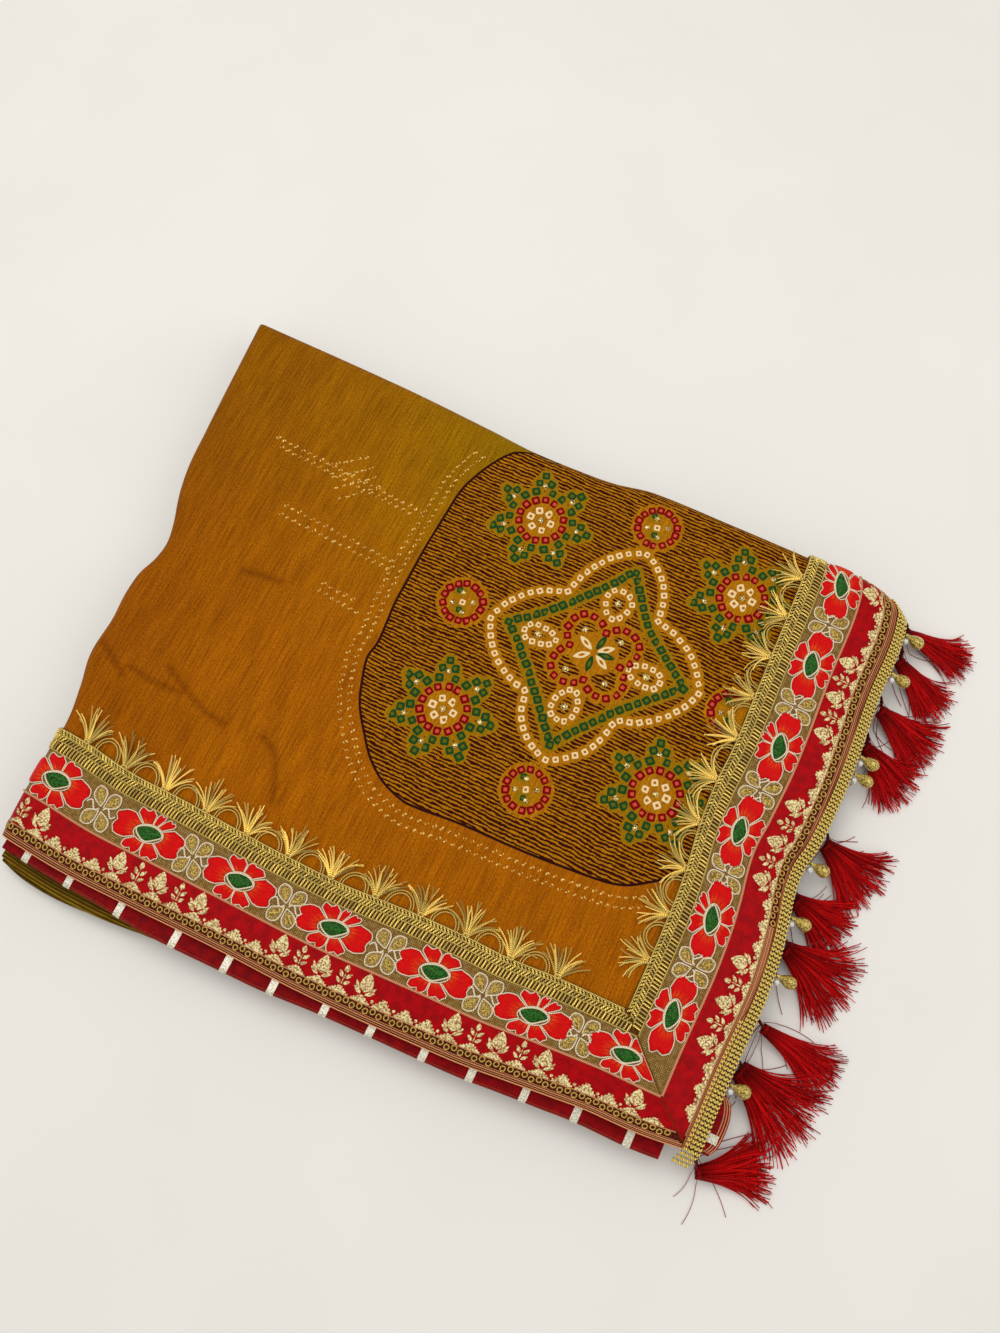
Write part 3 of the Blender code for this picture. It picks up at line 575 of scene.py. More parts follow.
# Silk streaks: noise drawn out along one direction
streaks, given = new_effect(
    "silk_streaks",
    [("Place", "NodeSocketVector", None), ("Across", "NodeSocketFloat", 1.2),
     ("Along", "NodeSocketFloat", 0.05)],
    ["Shade"],
)
scales = add_node(streaks, "ShaderNodeCombineXYZ", {0: given["Across"], 1: given["Along"], 2: 1.0})
drawn = stretch(streaks, given["Place"], scales.outputs[0])
add_node(streaks, "NodeGroupOutput", {"Shade": noise(streaks, drawn, 1.0, 4.0, 0.65)})

# Twisted thread: a diagonal stripe that winds round it
twist, given = new_effect(
    "twisted_thread",
    [("Along", "NodeSocketFloat", None), ("Around", "NodeSocketVector", None),
     ("Pitch", "NodeSocketFloat", 1.0)],
    ["Ridge"],
)
split = parts_of(twist, given["Around"])
angle = calc(twist, "ARCTAN2", split[1], split[0])
wound = times(twist, calc(twist, "DIVIDE", given["Along"], given["Pitch"]), math.tau)
ridge = calc(twist, "SINE", plus(twist, wound, times(twist, angle, 2.0)))
add_node(twist, "NodeGroupOutput", {"Ridge": calc(twist, "MULTIPLY_ADD", ridge, 0.5, 0.5)})


def effect(tree, group, inputs):
    return add_node(tree, "ShaderNodeGroup", inputs, node_tree=group).outputs[0]


print("shared effects:", [group.name for group in (weave, streaks, twist)])

# %% [markdown]
# ### The dyed cloth
#
# The ground is mustard silk that turns olive towards the far side, with fine streaks along the warp. The
# arch panel is printed with thin dark lines, and the dyer keeps a clear halo round every tied spot. The
# distance to the arch's line and to the nearest spot is stored on the cloth's points, and the finish turns
# those distances into crisp edges.

# %% Finish of the cloth
STRIPE_PITCH = 1.85
cloth_finish, tree, shader = new_finish("dyed_silk", 0.7, gloss=0.04)
place = millimetres(tree)
split = parts_of(tree, place)
shade = effect(tree, streaks, {"Place": place, "Across": 1.35, "Along": 0.05})
broad = effect(tree, streaks, {"Place": place, "Across": 0.1, "Along": 0.02})
far_share = between(tree, split[1], -20.0, 150.0)
right_share = between(tree, split[0], -150.0, 60.0)
olive_share = times(tree, far_share, plus(tree, times(tree, right_share, 0.75), 0.3))
ground = blend_tones(tree, olive_share, paint(180, 104, 2), paint(148, 126, 2))
darker = tinted(tree, ground, (0.66, 0.6, 0.4, 1))
ground = blend_tones(tree, between(tree, shade, 0.34, 0.6), darker, ground)
tones = blend_tones(tree, between(tree, broad, 0.3, 0.75), (0.86, 0.82, 0.76, 1), (1.08, 1.08, 1.1, 1))
ground = tinted(tree, ground, tones)
left_tones = blend_tones(tree, between(tree, split[0], -190.0, -70.0), (0.82, 0.78, 0.72, 1), WHITE)
ground = tinted(tree, ground, left_tones)
thread = effect(tree, streaks, {"Place": place, "Across": 2.4, "Along": 0.9})
thread_tones = blend_tones(tree, between(tree, thread, 0.38, 0.6), (0.72, 0.66, 0.5, 1), (1.16, 1.16, 1.1, 1))

wobble = noise(tree, stretch(tree, place, (0.22, 0.5, 1)), 1.0, 3.0)
slow = noise(tree, stretch(tree, place, (0.03, 0.02, 1)), 1.0, 1.0)
lines = plus(tree, calc(tree, "DIVIDE", split[1], STRIPE_PITCH), times(tree, wobble, 1.2))
lines = plus(tree, lines, times(tree, slow, 2.0))
wave = calc(tree, "SINE", times(tree, lines, math.tau))
breaks = noise(tree, stretch(tree, place, (0.35, 1.2, 1)), 1.0, 2.0)
wave = plus(tree, wave, times(tree, minus(tree, breaks, 0.42), 1.6))
stripe = between(tree, wave, -0.08, 0.12)
arch = attribute(tree, "arch")[2]
clear = attribute(tree, "halo")[2]
edge_noise = times(tree, minus(tree, noise(tree, place, 0.9, 2.0), 0.5), 1.6)
stripe = times(tree, stripe, between(tree, plus(tree, clear, edge_noise), 0.0, 0.5))
stripe = times(tree, stripe, between(tree, arch, 0.0, 0.4))
print_ground = blend_tones(tree, between(tree, shade, 0.35, 0.65), paint(160, 100, 4), paint(190, 126, 12))
ground = blend_tones(tree, between(tree, arch, 0.0, 0.4), ground, print_ground)
leafy = times(tree, attribute(tree, "leafy")[2], 0.75)
ground = blend_tones(tree, leafy, ground, paint(142, 112, 2))
ground = tinted(tree, ground, thread_tones)
ground = blend_tones(tree, stripe, ground, paint(56, 12, 8))
# Painted shade along the sharp creases; further down the same lines also lower the bump
crease = attribute(tree, "crease")[2]
ground = blend_tones(tree, times(tree, crease, 0.5), ground, paint(96, 38, 0))
line = minus(tree, 1.0, between(tree, calc(tree, "ABSOLUTE", arch), 0.45, 0.8))
ground = blend_tones(tree, line, ground, paint(46, 12, 10))
grain = effect(tree, weave, {"Place": place, "Warp pitch": 0.42, "Weft pitch": 0.5})
height = plus(tree, times(tree, shade, 1.6), times(tree, grain, 0.35))
height = minus(tree, height, times(tree, crease, 2.0))
connect(tree, shader, ground, height, 0.2)

# %% [markdown]
# ### Thread, metal and glass
#
# Gold thread is a soft metal. Every twisted thread has a painted highlight on the crowns of its strands and a
# painted shade between them, brown on gold thread. Embroidery silk has long streaks from the middle of a
# petal to its rim.


# %% Finishes of thread
def thread_finish(name, dark, light, roughness, metallic, pitch=1.0, gloss=0.2, root=1.0):
    """Twisted thread: two tones paint light on its strands and shade between them; tinted by the piece;
    `root` is its painted-shade brightness where it starts.
    """
    finish, tree, shader = new_finish(name, roughness, metallic, gloss)
    along = times(tree, attribute(tree, "along")[2], 1000.0)
    ridge = effect(tree, twist, {"Along": along, "Around": attribute(tree, "around")[1], "Pitch": pitch})
    # Painted highlight on the twist's ridges and painted shade in its grooves
    colour = blend_tones(tree, between(tree, ridge, 0.1, 0.8), dark, light)
    colour = tinted(tree, colour, attribute(tree, "tint")[0])
    # Painted shade near the thread's start, fading out over its first 16 mm
    if root < 1:
        shaded = tinted(tree, colour, grey(root))
        colour = blend_tones(tree, between(tree, along, 0.0, 16.0), shaded, colour)
    connect(tree, shader, colour, ridge, 0.12)
    return finish


def stitched_finish(name, dark, light, roughness, metallic, scale=2.2, gloss=0.15):
    """Close stitches seen from above: uneven short strokes in two tones, tinted by the piece."""
    finish, tree, shader = new_finish(name, roughness, metallic, gloss)
    strokes = noise(tree, on_piece(tree), scale, 3.0, 0.6)
    colour = blend_tones(tree, between(tree, strokes, 0.36, 0.64), dark, light)
    colour = tinted(tree, colour, attribute(tree, "tint")[0])
    connect(tree, shader, colour, strokes, 0.3)
    return finish


gold_thread = thread_finish("gold_thread", paint(112, 62, 2), paint(255, 226, 112), 0.4, 0.1, 0.9, 0.4)
silver_cord = thread_finish("silver_gold_cord", paint(206, 160, 96), paint(255, 252, 232), 0.4, 0.0, 1.1, 0.4)
copper_cord = thread_finish("copper_cord", paint(150, 76, 44), paint(240, 176, 128), 0.5, 0.1, 0.8)
# Tassel silk starts at 0.3 of its brightness: painted shade at the tassels' heads
tassel_silk = thread_finish("tassel_silk", paint(168, 0, 4), paint(244, 24, 24), 0.5, 0.0, 1.4, 0.08, 0.3)
zari_thread = stitched_finish("woven_zari", paint(150, 92, 40), paint(255, 242, 176), 0.45, 0.1, 1.25, 0.3)
gimp_ground = stitched_finish("gimp_ground", paint(52, 24, 0), paint(112, 70, 10), 0.6, 0.0)
leaf_filling = stitched_finish("leaf_filling", paint(84, 54, 6), paint(222, 186, 84), 0.5, 0.2, 1.5, 0.3)
braid_core = stitched_finish("braid_core", paint(44, 20, 0), paint(104, 64, 8), 0.6, 0.0)
green_silk = stitched_finish("green_silk", paint(8, 46, 4), paint(44, 112, 26), 0.45, 0.0, 1.3)

# %% Finishes of woven bands and net
def satin_finish(name, deep, bright, edge_depth):
    """Red satin with a fine diagonal twill and a darker woven edge up to `edge_depth`."""
    finish, tree, shader = new_finish(name, 0.5)
    place = millimetres(tree)
    split = parts_of(tree, place)
    diagonal = plus(tree, times(tree, split[0], 0.42), split[1])
    twill = calc(tree, "SINE", times(tree, diagonal, math.tau / 1.1))
    uneven = noise(tree, place, 0.25, 3.0)
    red = blend_tones(tree, between(tree, uneven, 0.3, 0.7), deep, bright)
    red = blend_tones(tree, times(tree, between(tree, twill, 0.1, 0.9), 0.35), red, paint(112, 0, 6))
    dark_edge = minus(tree, 1.0, between(tree, split[1], edge_depth - 1.2, edge_depth))
    weft = noise(tree, stretch(tree, place, (2.0, 0.7, 1)), 1.0, 2.0)
    edge_tone = blend_tones(tree, between(tree, weft, 0.42, 0.6), paint(58, 4, 2), paint(96, 34, 14))
    red = blend_tones(tree, dark_edge, red, edge_tone)
    fleck = between(tree, noise(tree, stretch(tree, place, (0.6, 1.4, 1)), 1.0, 1.0), 0.77, 0.8)
    red = blend_tones(tree, fleck, red, paint(216, 70, 86))
    connect(tree, shader, red, plus(tree, times(tree, twill, 0.5), uneven), 0.14)
    return finish


zari_finish = satin_finish("red_satin_band", paint(152, 0, 6), paint(186, 0, 8), 8.2)
piping_finish = satin_finish("red_satin_piping", paint(112, 0, 4), paint(150, 0, 6), -50.0)

net_finish, tree, shader = new_finish("net_ground", 0.75, 0.1)
place = millimetres(tree)
split = parts_of(tree, place)
mesh_u = calc(tree, "ABSOLUTE", calc(tree, "SINE", times(tree, split[0], math.pi / 0.9)))
mesh_v = calc(tree, "ABSOLUTE", calc(tree, "SINE", times(tree, split[1], math.pi / 0.9)))
hole = times(tree, mesh_u, mesh_v)
tone = blend_tones(tree, between(tree, hole, 0.3, 0.7), paint(176, 144, 84), paint(70, 42, 6))
mottle = noise(tree, place, 0.5, 3.0)
tone = blend_tones(tree, between(tree, mottle, 0.35, 0.65), tone, paint(126, 92, 38))
connect(tree, shader, tone, minus(tree, 1.0, hole), 0.15)

petal_finish, tree, shader = new_finish("petal_silk", 0.45)
split = parts_of(tree, millimetres(tree))
flat = add_node(tree, "ShaderNodeCombineXYZ", {0: times(tree, split[0], 1.6), 1: split[1], 2: 0.0})
strokes = noise(tree, stretch(tree, flat.outputs[0], (1, 14, 1)), 1.0, 3.0, 0.6)
reach = plus(tree, split[0], times(tree, minus(tree, strokes, 0.5), 1.5))
silk = blend_tones(tree, between(tree, strokes, 0.3, 0.7), paint(196, 0, 4), paint(234, 18, 10))
flame = times(tree, between(tree, reach, 0.62, 0.1), between(tree, strokes, 0.5, 0.6))
silk = blend_tones(tree, flame, silk, paint(255, 122, 34))
connect(tree, shader, silk, strokes, 0.35)

# %% Finishes of spots, metal, beads and layered cloth
spot_finish, tree, shader = new_finish("tied_spots", 0.7, gloss=0.04)
rim = attribute(tree, "rim")[2]
place = on_piece(tree)
ragged = times(tree, minus(tree, noise(tree, place, 2.0, 2.0), 0.5), 0.25)
heart_share = between(tree, plus(tree, rim, ragged), 0.48, 0.32)
dye = blend_tones(tree, heart_share, attribute(tree, "tint")[0], attribute(tree, "heart")[0])
patchy_dye_and_glints = noise(tree, place, 1.2, 3.0)
dye = tinted(tree, dye, blend_tones(tree, patchy_dye_and_glints, grey(0.75), grey(1.15)))
connect(tree, shader, dye, patchy_dye_and_glints, 0.15)


def metal_finish(name, dark, light, roughness, metallic, soft=0.2):
    """Metal or glass in two tones in random patches, partly painted glints and reflections; `soft` is how
    gently they pass into each other.
    """
    finish, tree, shader = new_finish(name, roughness, metallic, 0.5)
    place = on_piece(tree)
    # Random patches in two tones: partly the metal's own uneven tone, partly painted glints and dark
    # reflections
    patchy_dye_and_glints = noise(tree, place, 1.4, 4.0, 0.6)
    tone = blend_tones(tree, between(tree, patchy_dye_and_glints, 0.5 - soft, 0.5 + soft), dark, light)
    connect(tree, shader, tone, patchy_dye_and_glints, 0.08)
    return finish


# On the stones and the drop beads the light tone is a painted glint and highlight, the dark tone a painted
# dark reflection
foil_finish = metal_finish("gold_foil", paint(186, 124, 34), paint(255, 216, 116), 0.3, 0.5)
plate_finish = metal_finish("champagne_plate", paint(176, 160, 122), paint(255, 252, 236), 0.25, 0.25)
stone_finish = metal_finish("gold_stone", paint(84, 46, 2), paint(255, 226, 146), 0.22, 0.5, 0.08)
bead_finish = metal_finish("gold_glass", paint(88, 64, 0), paint(240, 206, 84), 0.12, 0.5, 0.13)
pearl_finish = metal_finish("clear_bead", paint(190, 186, 176), paint(246, 244, 238), 0.08, 0.1)
for polished in (bead_finish, pearl_finish):
    polished.node_tree.nodes["Principled BSDF"].inputs["Coat Weight"].default_value = 1.0

layer_finish, tree, shader = new_finish("layered_silk", 0.7, gloss=0.04)
place = millimetres(tree)
shade = effect(tree, streaks, {"Place": place, "Across": 0.35, "Along": 2.6})
tint = attribute(tree, "tint")[0]
darker = tinted(tree, tint, (0.62, 0.6, 0.55, 1))
grain = effect(tree, weave, {"Place": place, "Warp pitch": 0.5, "Weft pitch": 0.5})
height = plus(tree, shade, times(tree, grain, 0.3))
silk = blend_tones(tree, between(tree, shade, 0.3, 0.6), darker, tint)
# Painted shade: thin dark lines where one layer ends and the next begins, read along the unrolled edge
uneven = times(tree, noise(tree, stretch(tree, place, (0.05, 0.6, 1)), 1.0, 3.0), 1.4)
layer_shade_lines = plus(tree, calc(tree, "DIVIDE", attribute(tree, "unrolled")[2], 1.9), uneven)
layer_shade_lines = calc(tree, "SINE", times(tree, layer_shade_lines, math.tau))
silk = blend_tones(tree, between(tree, layer_shade_lines, 0.45, 0.95), silk, paint(52, 34, 4))
connect(tree, shader, silk, minus(tree, height, between(tree, layer_shade_lines, 0.2, 0.9)), 0.4)
print("finishes:", len(bpy.data.materials))

# %% [markdown]
# ## The top cloth
#
# The stretch of silk that shows is a thin closed shell, half a millimetre thick, that rolls round the left
# and the far fold. A simulation would lose the fold lines seen in the photograph, so the shell follows the
# guide lines, and its creases are listed one by one. First come the measures of the dyed pattern, because the
# finish needs to know how far each point of the cloth is from the arch's line and from the nearest spot.

# %% Places of the arch panel and the tied spots
CREAM = paint(244, 214, 160)
OCHRE = paint(170, 102, 10)
CRIMSON = paint(128, 0, 10)
RED_HEART = paint(206, 84, 56)
GREEN = paint(26, 70, 30)
PALE_GREEN = paint(96, 98, 16)
# The arch's line from the far fold down its left side and along its lower side, read off the photograph
ARCH_LINE = (
    (-11, 146), (-11, 142), (-21, 143), (-29, 139), (-35, 135), (-41, 126), (-46, 115), (-49, 104), (-50, 88),
    (-51, 68), (-51, 50), (-51, 36), (-50, 26), (-49, 14), (-50, 5), (-47, -6), (-42, -18), (-33, -30),
    (-25, -39), (-15, -46), (-3, -50), (5, -50.3), (27, -48), (60, -46.6), (93, -43.5), (104, -41.5),
    (112, -38), (126, -28), (140, -20),
)
MEDALLION = (50.0, 55.0)
STAR_TIPS = ((-5, 50), (50, 115), (103, 59), (50, -3))
STAR_NOTCHES = ((24, 78.4), (70.1, 84), (71.8, 28.9), (27.1, 23.2))
STAR_BULGE = 6.0
INNER_TIPS = ((4, 52), (50, 104), (96, 58.5), (48.6, 4.2))
INNER_NOTCHES = ((25, 71.5), (67.5, 79), (70, 32.4), (27.4, 29))
# (p, q, half length, half width) of the four loops of cream spots
LOOPS = ((48.9, 84.2, 7.8, 6.4), (20, 52.2, 8.2, 4.6), (76.7, 55.4, 8.4, 5), (47.1, 24.6, 8.4, 6))
PETAL_MIDDLE = (48.6, 55.7)
PETAL_REACH = 6.2
# (degrees, whether it is green) of the petals round the medallion's middle
MEDALLION_PETALS = ((37, 0), (78, 1), (153, 0), (217, 0), (273, 1), (330, 0), (6, 1))
# (p, q, half width) of the stones between the loops
MIDDLE_STONES = ((39.9, 64.6, 1.7), (58.4, 66, 1.7), (59.9, 43.2, 1.7), (39.7, 42, 1.7))
ROSETTES = ((-5, 108), (-5, -2), (103, 114), (104, 5))
SMALL_RINGS = ((-21, 51), (50, 130), (48, -20), (121, 57))
# A rosette's green leaves: (distance, degrees aside) of the five spots of each
LEAVES_OF_ROSETTE = 7
FIRST_LEAF = 5.7
LEAF_TURN = 51.43
LEAF_SPOTS = ((16, 14.9), (16, -14.9), (20.8, 8.7), (20.8, -8.7), (24.6, 0))
SPOT_PITCH = 4.8
SPOT_HALF = 1.55
FAR_AWAY = 1e9
# How far the dyer's clear halo reaches past a spot, and past the middle of a rosette or ring
SPOT_HALO = 1.5
ROSETTE_HALO = 11.0


def even_along(path, pitch):
    """Points at an even pitch along a path, from its start towards its end."""
    path = np.asarray(path, float)
    reach = np.concatenate([[0], np.cumsum(np.hypot(*np.diff(path, axis=0).T))])
    count = max(2, round(reach[-1] / pitch) + 1)
    at = np.linspace(0, reach[-1], count)
    return np.stack([np.interp(at, reach, path[:, 0]), np.interp(at, reach, path[:, 1])], axis=-1)


def bulged(start, end, bulge, count=16):
    """A shallow arc from start to end that swells to its left by `bulge`."""
    start, end = np.asarray(start, float), np.asarray(end, float)
    share = np.linspace(0, 1, count)[:, None]
    aside = np.array([-(end - start)[1], (end - start)[0]]) / np.hypot(*(end - start))
    return start + (end - start) * share + aside * bulge * 4 * share * (1 - share)


def star_path(tips, notches, bulge):
    """A four-pointed star of eight arcs, walked clockwise from its left tip."""
    path = []
    for i, (tip, notch) in enumerate(zip(tips, notches)):
        path += [bulged(tip, notch, bulge), bulged(notch, tips[(i + 1) % 4], bulge)[1:]]
    return np.concatenate(path)


def round_places(middle, count, radius, turn=0.0):
    angles = turn + math.tau * np.arange(count) / count
    return [(middle[0] + radius * math.cos(a), middle[1] + radius * math.sin(a), a) for a in angles]


spots = []  # (p, q, turn, half length, half width, colour of the ring, colour of the heart)
petal_spots = []
stones = []


def add_spots(loop, pitch, half, tint, heart):
    """Spots at an even pitch round a closed path, each turned as the path runs there."""
    places = even_along(loop, pitch)[:-1]
    for (p, q), (run_p, run_q) in zip(places, np.roll(places, -1, axis=0) - np.roll(places, 1, axis=0)):
        spots.append((p, q, math.atan2(run_q, run_p), half, half, tint, heart))


add_spots(star_path(STAR_TIPS, STAR_NOTCHES, STAR_BULGE), SPOT_PITCH, SPOT_HALF, CREAM, OCHRE)
add_spots(star_path(INNER_TIPS, INNER_NOTCHES, -0.6), 4.7, 2.05, GREEN, PALE_GREEN)
angles = np.linspace(0, math.tau, 200)
lobes = 13.2 + 9.2 * np.abs(np.sin(2 * angles))
quatrefoil = np.stack([49.8 + lobes * np.cos(angles), 54.2 + lobes * np.sin(angles)], axis=-1)
add_spots(quatrefoil, 5.1, 2.0, CRIMSON, RED_HEART)
for p, q, half_long, half_wide in LOOPS:
    outward = math.atan2(q - MEDALLION[1], p - MEDALLION[0])
    long_way = half_long * np.cos(angles) - np.cos(2 * angles)
    short_way = half_wide * np.sin(angles)
    loop = np.stack([p + long_way * math.cos(outward) - short_way * math.sin(outward),
                     q + long_way * math.sin(outward) + short_way * math.cos(outward)], axis=-1)
    add_spots(loop, 4.3, 1.5, CREAM, OCHRE)
    stones.append((p, q, 1.9))
for degrees, green in MEDALLION_PETALS:
    angle = math.radians(degrees)
    p = PETAL_MIDDLE[0] + PETAL_REACH * math.cos(angle)
    q = PETAL_MIDDLE[1] + PETAL_REACH * math.sin(angle)
    petal_spots.append((p, q, angle, 4.5, 1.75, *((GREEN, PALE_GREEN) if green else (CREAM, OCHRE))))
stones += MIDDLE_STONES
for middle in ROSETTES:
    for p, q, angle in round_places(middle, 14, 11.4):
        spots.append((p, q, angle, 2.1, 2.1, CRIMSON, RED_HEART))
    for p, q, angle in round_places(middle, 6, 5.4):
        spots.append((p, q, angle, 1.85, 1.85, CREAM, OCHRE))
    stones.append((*middle, 1.7))
    for leaf in range(LEAVES_OF_ROSETTE):
        ahead = math.radians(FIRST_LEAF + LEAF_TURN * leaf)
        for reach, aside in LEAF_SPOTS:
            angle = ahead + math.radians(aside)
            p, q = middle[0] + reach * math.cos(angle), middle[1] + reach * math.sin(angle)
            spots.append((p, q, angle, 2.05, 2.05, GREEN, PALE_GREEN))
        stones.append((middle[0] + 19 * math.cos(ahead), middle[1] + 19 * math.sin(ahead), 1.5))
for middle in SMALL_RINGS:
    for p, q, angle in round_places(middle, 14, 9.9):
        spots.append((p, q, angle, 2.0, 2.0, CRIMSON, RED_HEART))
    spots.append((*middle, 0.4, SPOT_HALF, SPOT_HALF, CREAM, OCHRE))
    for number, (p, q, angle) in enumerate(round_places(middle, 4, 5.2, 0.4)):
        stones.append((p, q, 1.4))
        if number % 2:
            spots.append((p - 1.9, q + 0.6, angle, 1.5, 1.5, GREEN, PALE_GREEN))
print("tied spots:", len(spots), "stones:", len(stones))


# %% Distances that the cloth's finish reads
def distance_to_path(points, path):
    nearest = np.full(len(points), FAR_AWAY)
    for start, end in zip(path, path[1:]):
        run = end - start
        share = np.clip(((points - start) @ run) / (run @ run), 0, 1)
        nearest = np.minimum(nearest, np.hypot(*(points - start - share[:, None] * run).T))
    return nearest


def inside_loop(points, loop):
    found = np.zeros(len(points), bool)
    for (x1, y1), (x2, y2) in zip(loop, np.roll(loop, 1, axis=0)):
        if y1 == y2:
            continue
        crosses = (y1 > points[:, 1]) != (y2 > points[:, 1])
        found ^= crosses & (points[:, 0] < x1 + (points[:, 1] - y1) * (x2 - x1) / (y2 - y1))
    return found


numbers = np.arange(len(ARCH_LINE))
keys = np.linspace(0, len(ARCH_LINE) - 1, 200)
arch_path = np.stack([read(np.column_stack([numbers, axis]), keys) for axis in np.transpose(ARCH_LINE)], -1)
# The panel is closed round the far corner, well outside the cloth
arch_loop = np.concatenate([arch_path, [[400, -20], [400, 400], [-11, 400]]])


def arch_distance(points):
    """Millimetres from the arch's line, above 0 inside the panel."""
    sign = np.where(inside_loop(points, arch_loop), 1, -1)
    return distance_to_path(points, arch_path) * sign


def spot_distance(points):
    """Millimetres from the edge of the clear halo round the spots, above 0 outside it."""
    discs = [(p, q, max(half_long, half_wide)) for p, q, _, half_long, half_wide, _, _ in spots + petal_spots]
    discs += [(*middle, ROSETTE_HALO) for middle in ROSETTES + SMALL_RINGS]
    nearest = np.full(len(points), FAR_AWAY)
    for p, q, radius in discs:
        nearest = np.minimum(nearest, np.hypot(points[:, 0] - p, points[:, 1] - q) - radius)
    return nearest - SPOT_HALO


def green_nearness(points):
    """1 on the dyed leaves of green spots, 0 away from them."""
    nearest = np.full(len(points), FAR_AWAY)
    for p, q, _, _, _, tint, _ in spots:
        if tint is GREEN:
            nearest = np.minimum(nearest, np.hypot(points[:, 0] - p, points[:, 1] - q))
    return np.clip((4.6 - nearest) / 1.6, 0, 1)


# Paths of the sharpest creases, along which the cloth gets a painted shade
CREASE_SHADE_LINES = (
    ((-171, -45), (-162, -50), (-153, -55)), ((-152, -50), (-140, -51.5), (-125, -51)),
    ((-135, -42), (-120, -49), (-108, -53.5), (-97, -55)),
    ((-77, -52), (-70, -55), (-66, -59), (-61, -68), (-57, -78)),
    ((-128, 17.7), (-118, 20), (-107, 21)),
)


def crease_shade(points):
    """How dark the painted shade along the sharp line of a crease is at each point."""
    shade = np.zeros(len(points))
    for mark in CREASE_SHADE_LINES:
        shade = np.maximum(shade, np.exp(-((distance_to_path(points, np.array(mark, float)) / 1.5) ** 2)))
    return shade


# %% Grid of the top cloth
CLOTH_THICK = 0.5
CLOTH_INSET = 0.5
CLOTH_COLUMNS = 205
CLOTH_ROWS = 172
ROLL_STEPS = 9
ROLL_START = 0.15


def cloth_grid(columns, rows):
    """Cloth places from the open edges round both folds."""
    turn = FOLD_TURN * FOLD_RADIUS
    roll = np.linspace(ROLL_START * turn, turn, ROLL_STEPS)
    share_p = np.concatenate([np.zeros(ROLL_STEPS), np.linspace(0, 1, columns)])[None, :]
    turn_p = np.concatenate([roll[::-1], np.zeros(columns)])[None, :]
    share_q = np.concatenate([np.linspace(0, 1, rows), np.ones(ROLL_STEPS)])[:, None]
    turn_q = np.concatenate([np.zeros(rows), roll])[:, None]
    p = np.broadcast_to(mix(-160, CORNER_P, share_p), (rows + ROLL_STEPS, columns + ROLL_STEPS))
    # Each edge depends on the place along the other one, so the grid settles in a few rounds
    for _ in range(4):
        q = mix(read(NEAR_EDGE, p), read(FAR_FOLD, p) - FOLD_RADIUS, share_q) + turn_q
        p = mix(read(LEFT_FOLD, q) + FOLD_RADIUS, read(RIGHT_EDGE, q) - CLOTH_INSET, share_p)
    return p - turn_p, q


def cloth_ripple(p, q):
    """Fine soft folds of thin silk, which die away under the borders and at the rolled edges."""
    calm = np.clip((q - read(FAN_ROOT_LONG, p) - 4) / 12, 0, 1) * np.clip((118 - p) / 12, 0, 1)
    calm *= np.clip((p + 166) / 10, 0, 1) * np.clip((136 - q) / 10, 0, 1)
    wave = 0.16 * np.sin(p / 2.9 + 0.8 * np.sin(q / 13)) + 0.12 * np.sin(p / 1.7 + 1.3 * np.sin(q / 21) + 1)
    return calm * (wave + 0.22 * np.sin(p / 8.5 + q / 40) * np.sin(q / 24 + 0.6))


p, q = cloth_grid(CLOTH_COLUMNS, CLOTH_ROWS)
ripple = cloth_ripple(p, q)
top_cloth_part = slab(p, q, ripple - CLOTH_THICK, ripple)
flat = np.stack([p.ravel(), q.ravel()], axis=-1)
shown = np.concatenate([flat, flat])
pattern = {"arch": arch_distance(shown), "halo": spot_distance(shown), "leafy": green_nearness(shown),
           "crease": crease_shade(shown)}
top_cloth = make_piece("top_cloth_silk", [top_cloth_part], cloth_finish, pattern)

# %% [markdown]
# ## The folds below
#
# Under the top cloth lie all the other layers, pressed flat. Their middle is never seen, so they are one
# closed skin round the stack. What shows is its edge: many thin layers, each a soft ridge, olive at the far
# and left side and mustard near the tassels. The profile is a list of heights with how far each layer steps
# in or out.

# %% Layered folds
CREASE_ROOM = 1.6
LAYER_GAP = 0.8
CLOTH_WALL = 1.2
OLIVE_FOLD = ((-166, 11), (-150, 13.5), (-120, 13), (-90, 11.5), (-72, 9), (-54, 3), (-40, 0))
# (height, inset near, right, far, left, share of the olive fold)
FOLD_EDGES = (
    (20.2, 0.6, 0.6, 2.8, 3.0, 0.0), (19.4, 9.0, 9.0, 2.8, 3.0, 0.0), (17.2, 9.0, 9.0, 2.8, 3.0, 0.0),
    (16.4, 2.0, 1.5, 2.8, 3.0, 0.0), (14.8, 1.0, 0.8, 2.8, 3.0, 0.3), (13.1, 3.0, 3.0, 4.0, 4.0, 0.3),
    (11.2, 0.5, 1.2, 2.2, 1.6, 0.9), (9.1, 2.4, 3.2, 3.8, 3.6, 0.8), (7.0, 0.6, 1.0, 1.4, 1.0, 1.0),
    (4.9, 3.0, 3.4, 3.6, 3.2, 0.8), (2.8, 1.4, 1.6, 1.8, 1.6, 0.8), (1.0, 2.2, 2.4, 2.6, 2.4, 0.6),
    (0.0, 5.0, 5.0, 5.0, 5.0, 0.5),
)
FOLD_TOP = FOLD_EDGES[0][0]
FOLD_RINGS = 66
# (turn round the folds, inset from the open edges, how much lower) of the rings under the top cloth
CROWN_RINGS = (
    (1.35, 1.2, 0.0), (0.75, 6, 0.0), (0.1, 14, 0.0), (-2.5, 34, CREASE_ROOM), (-8.0, 80, CREASE_ROOM),
)
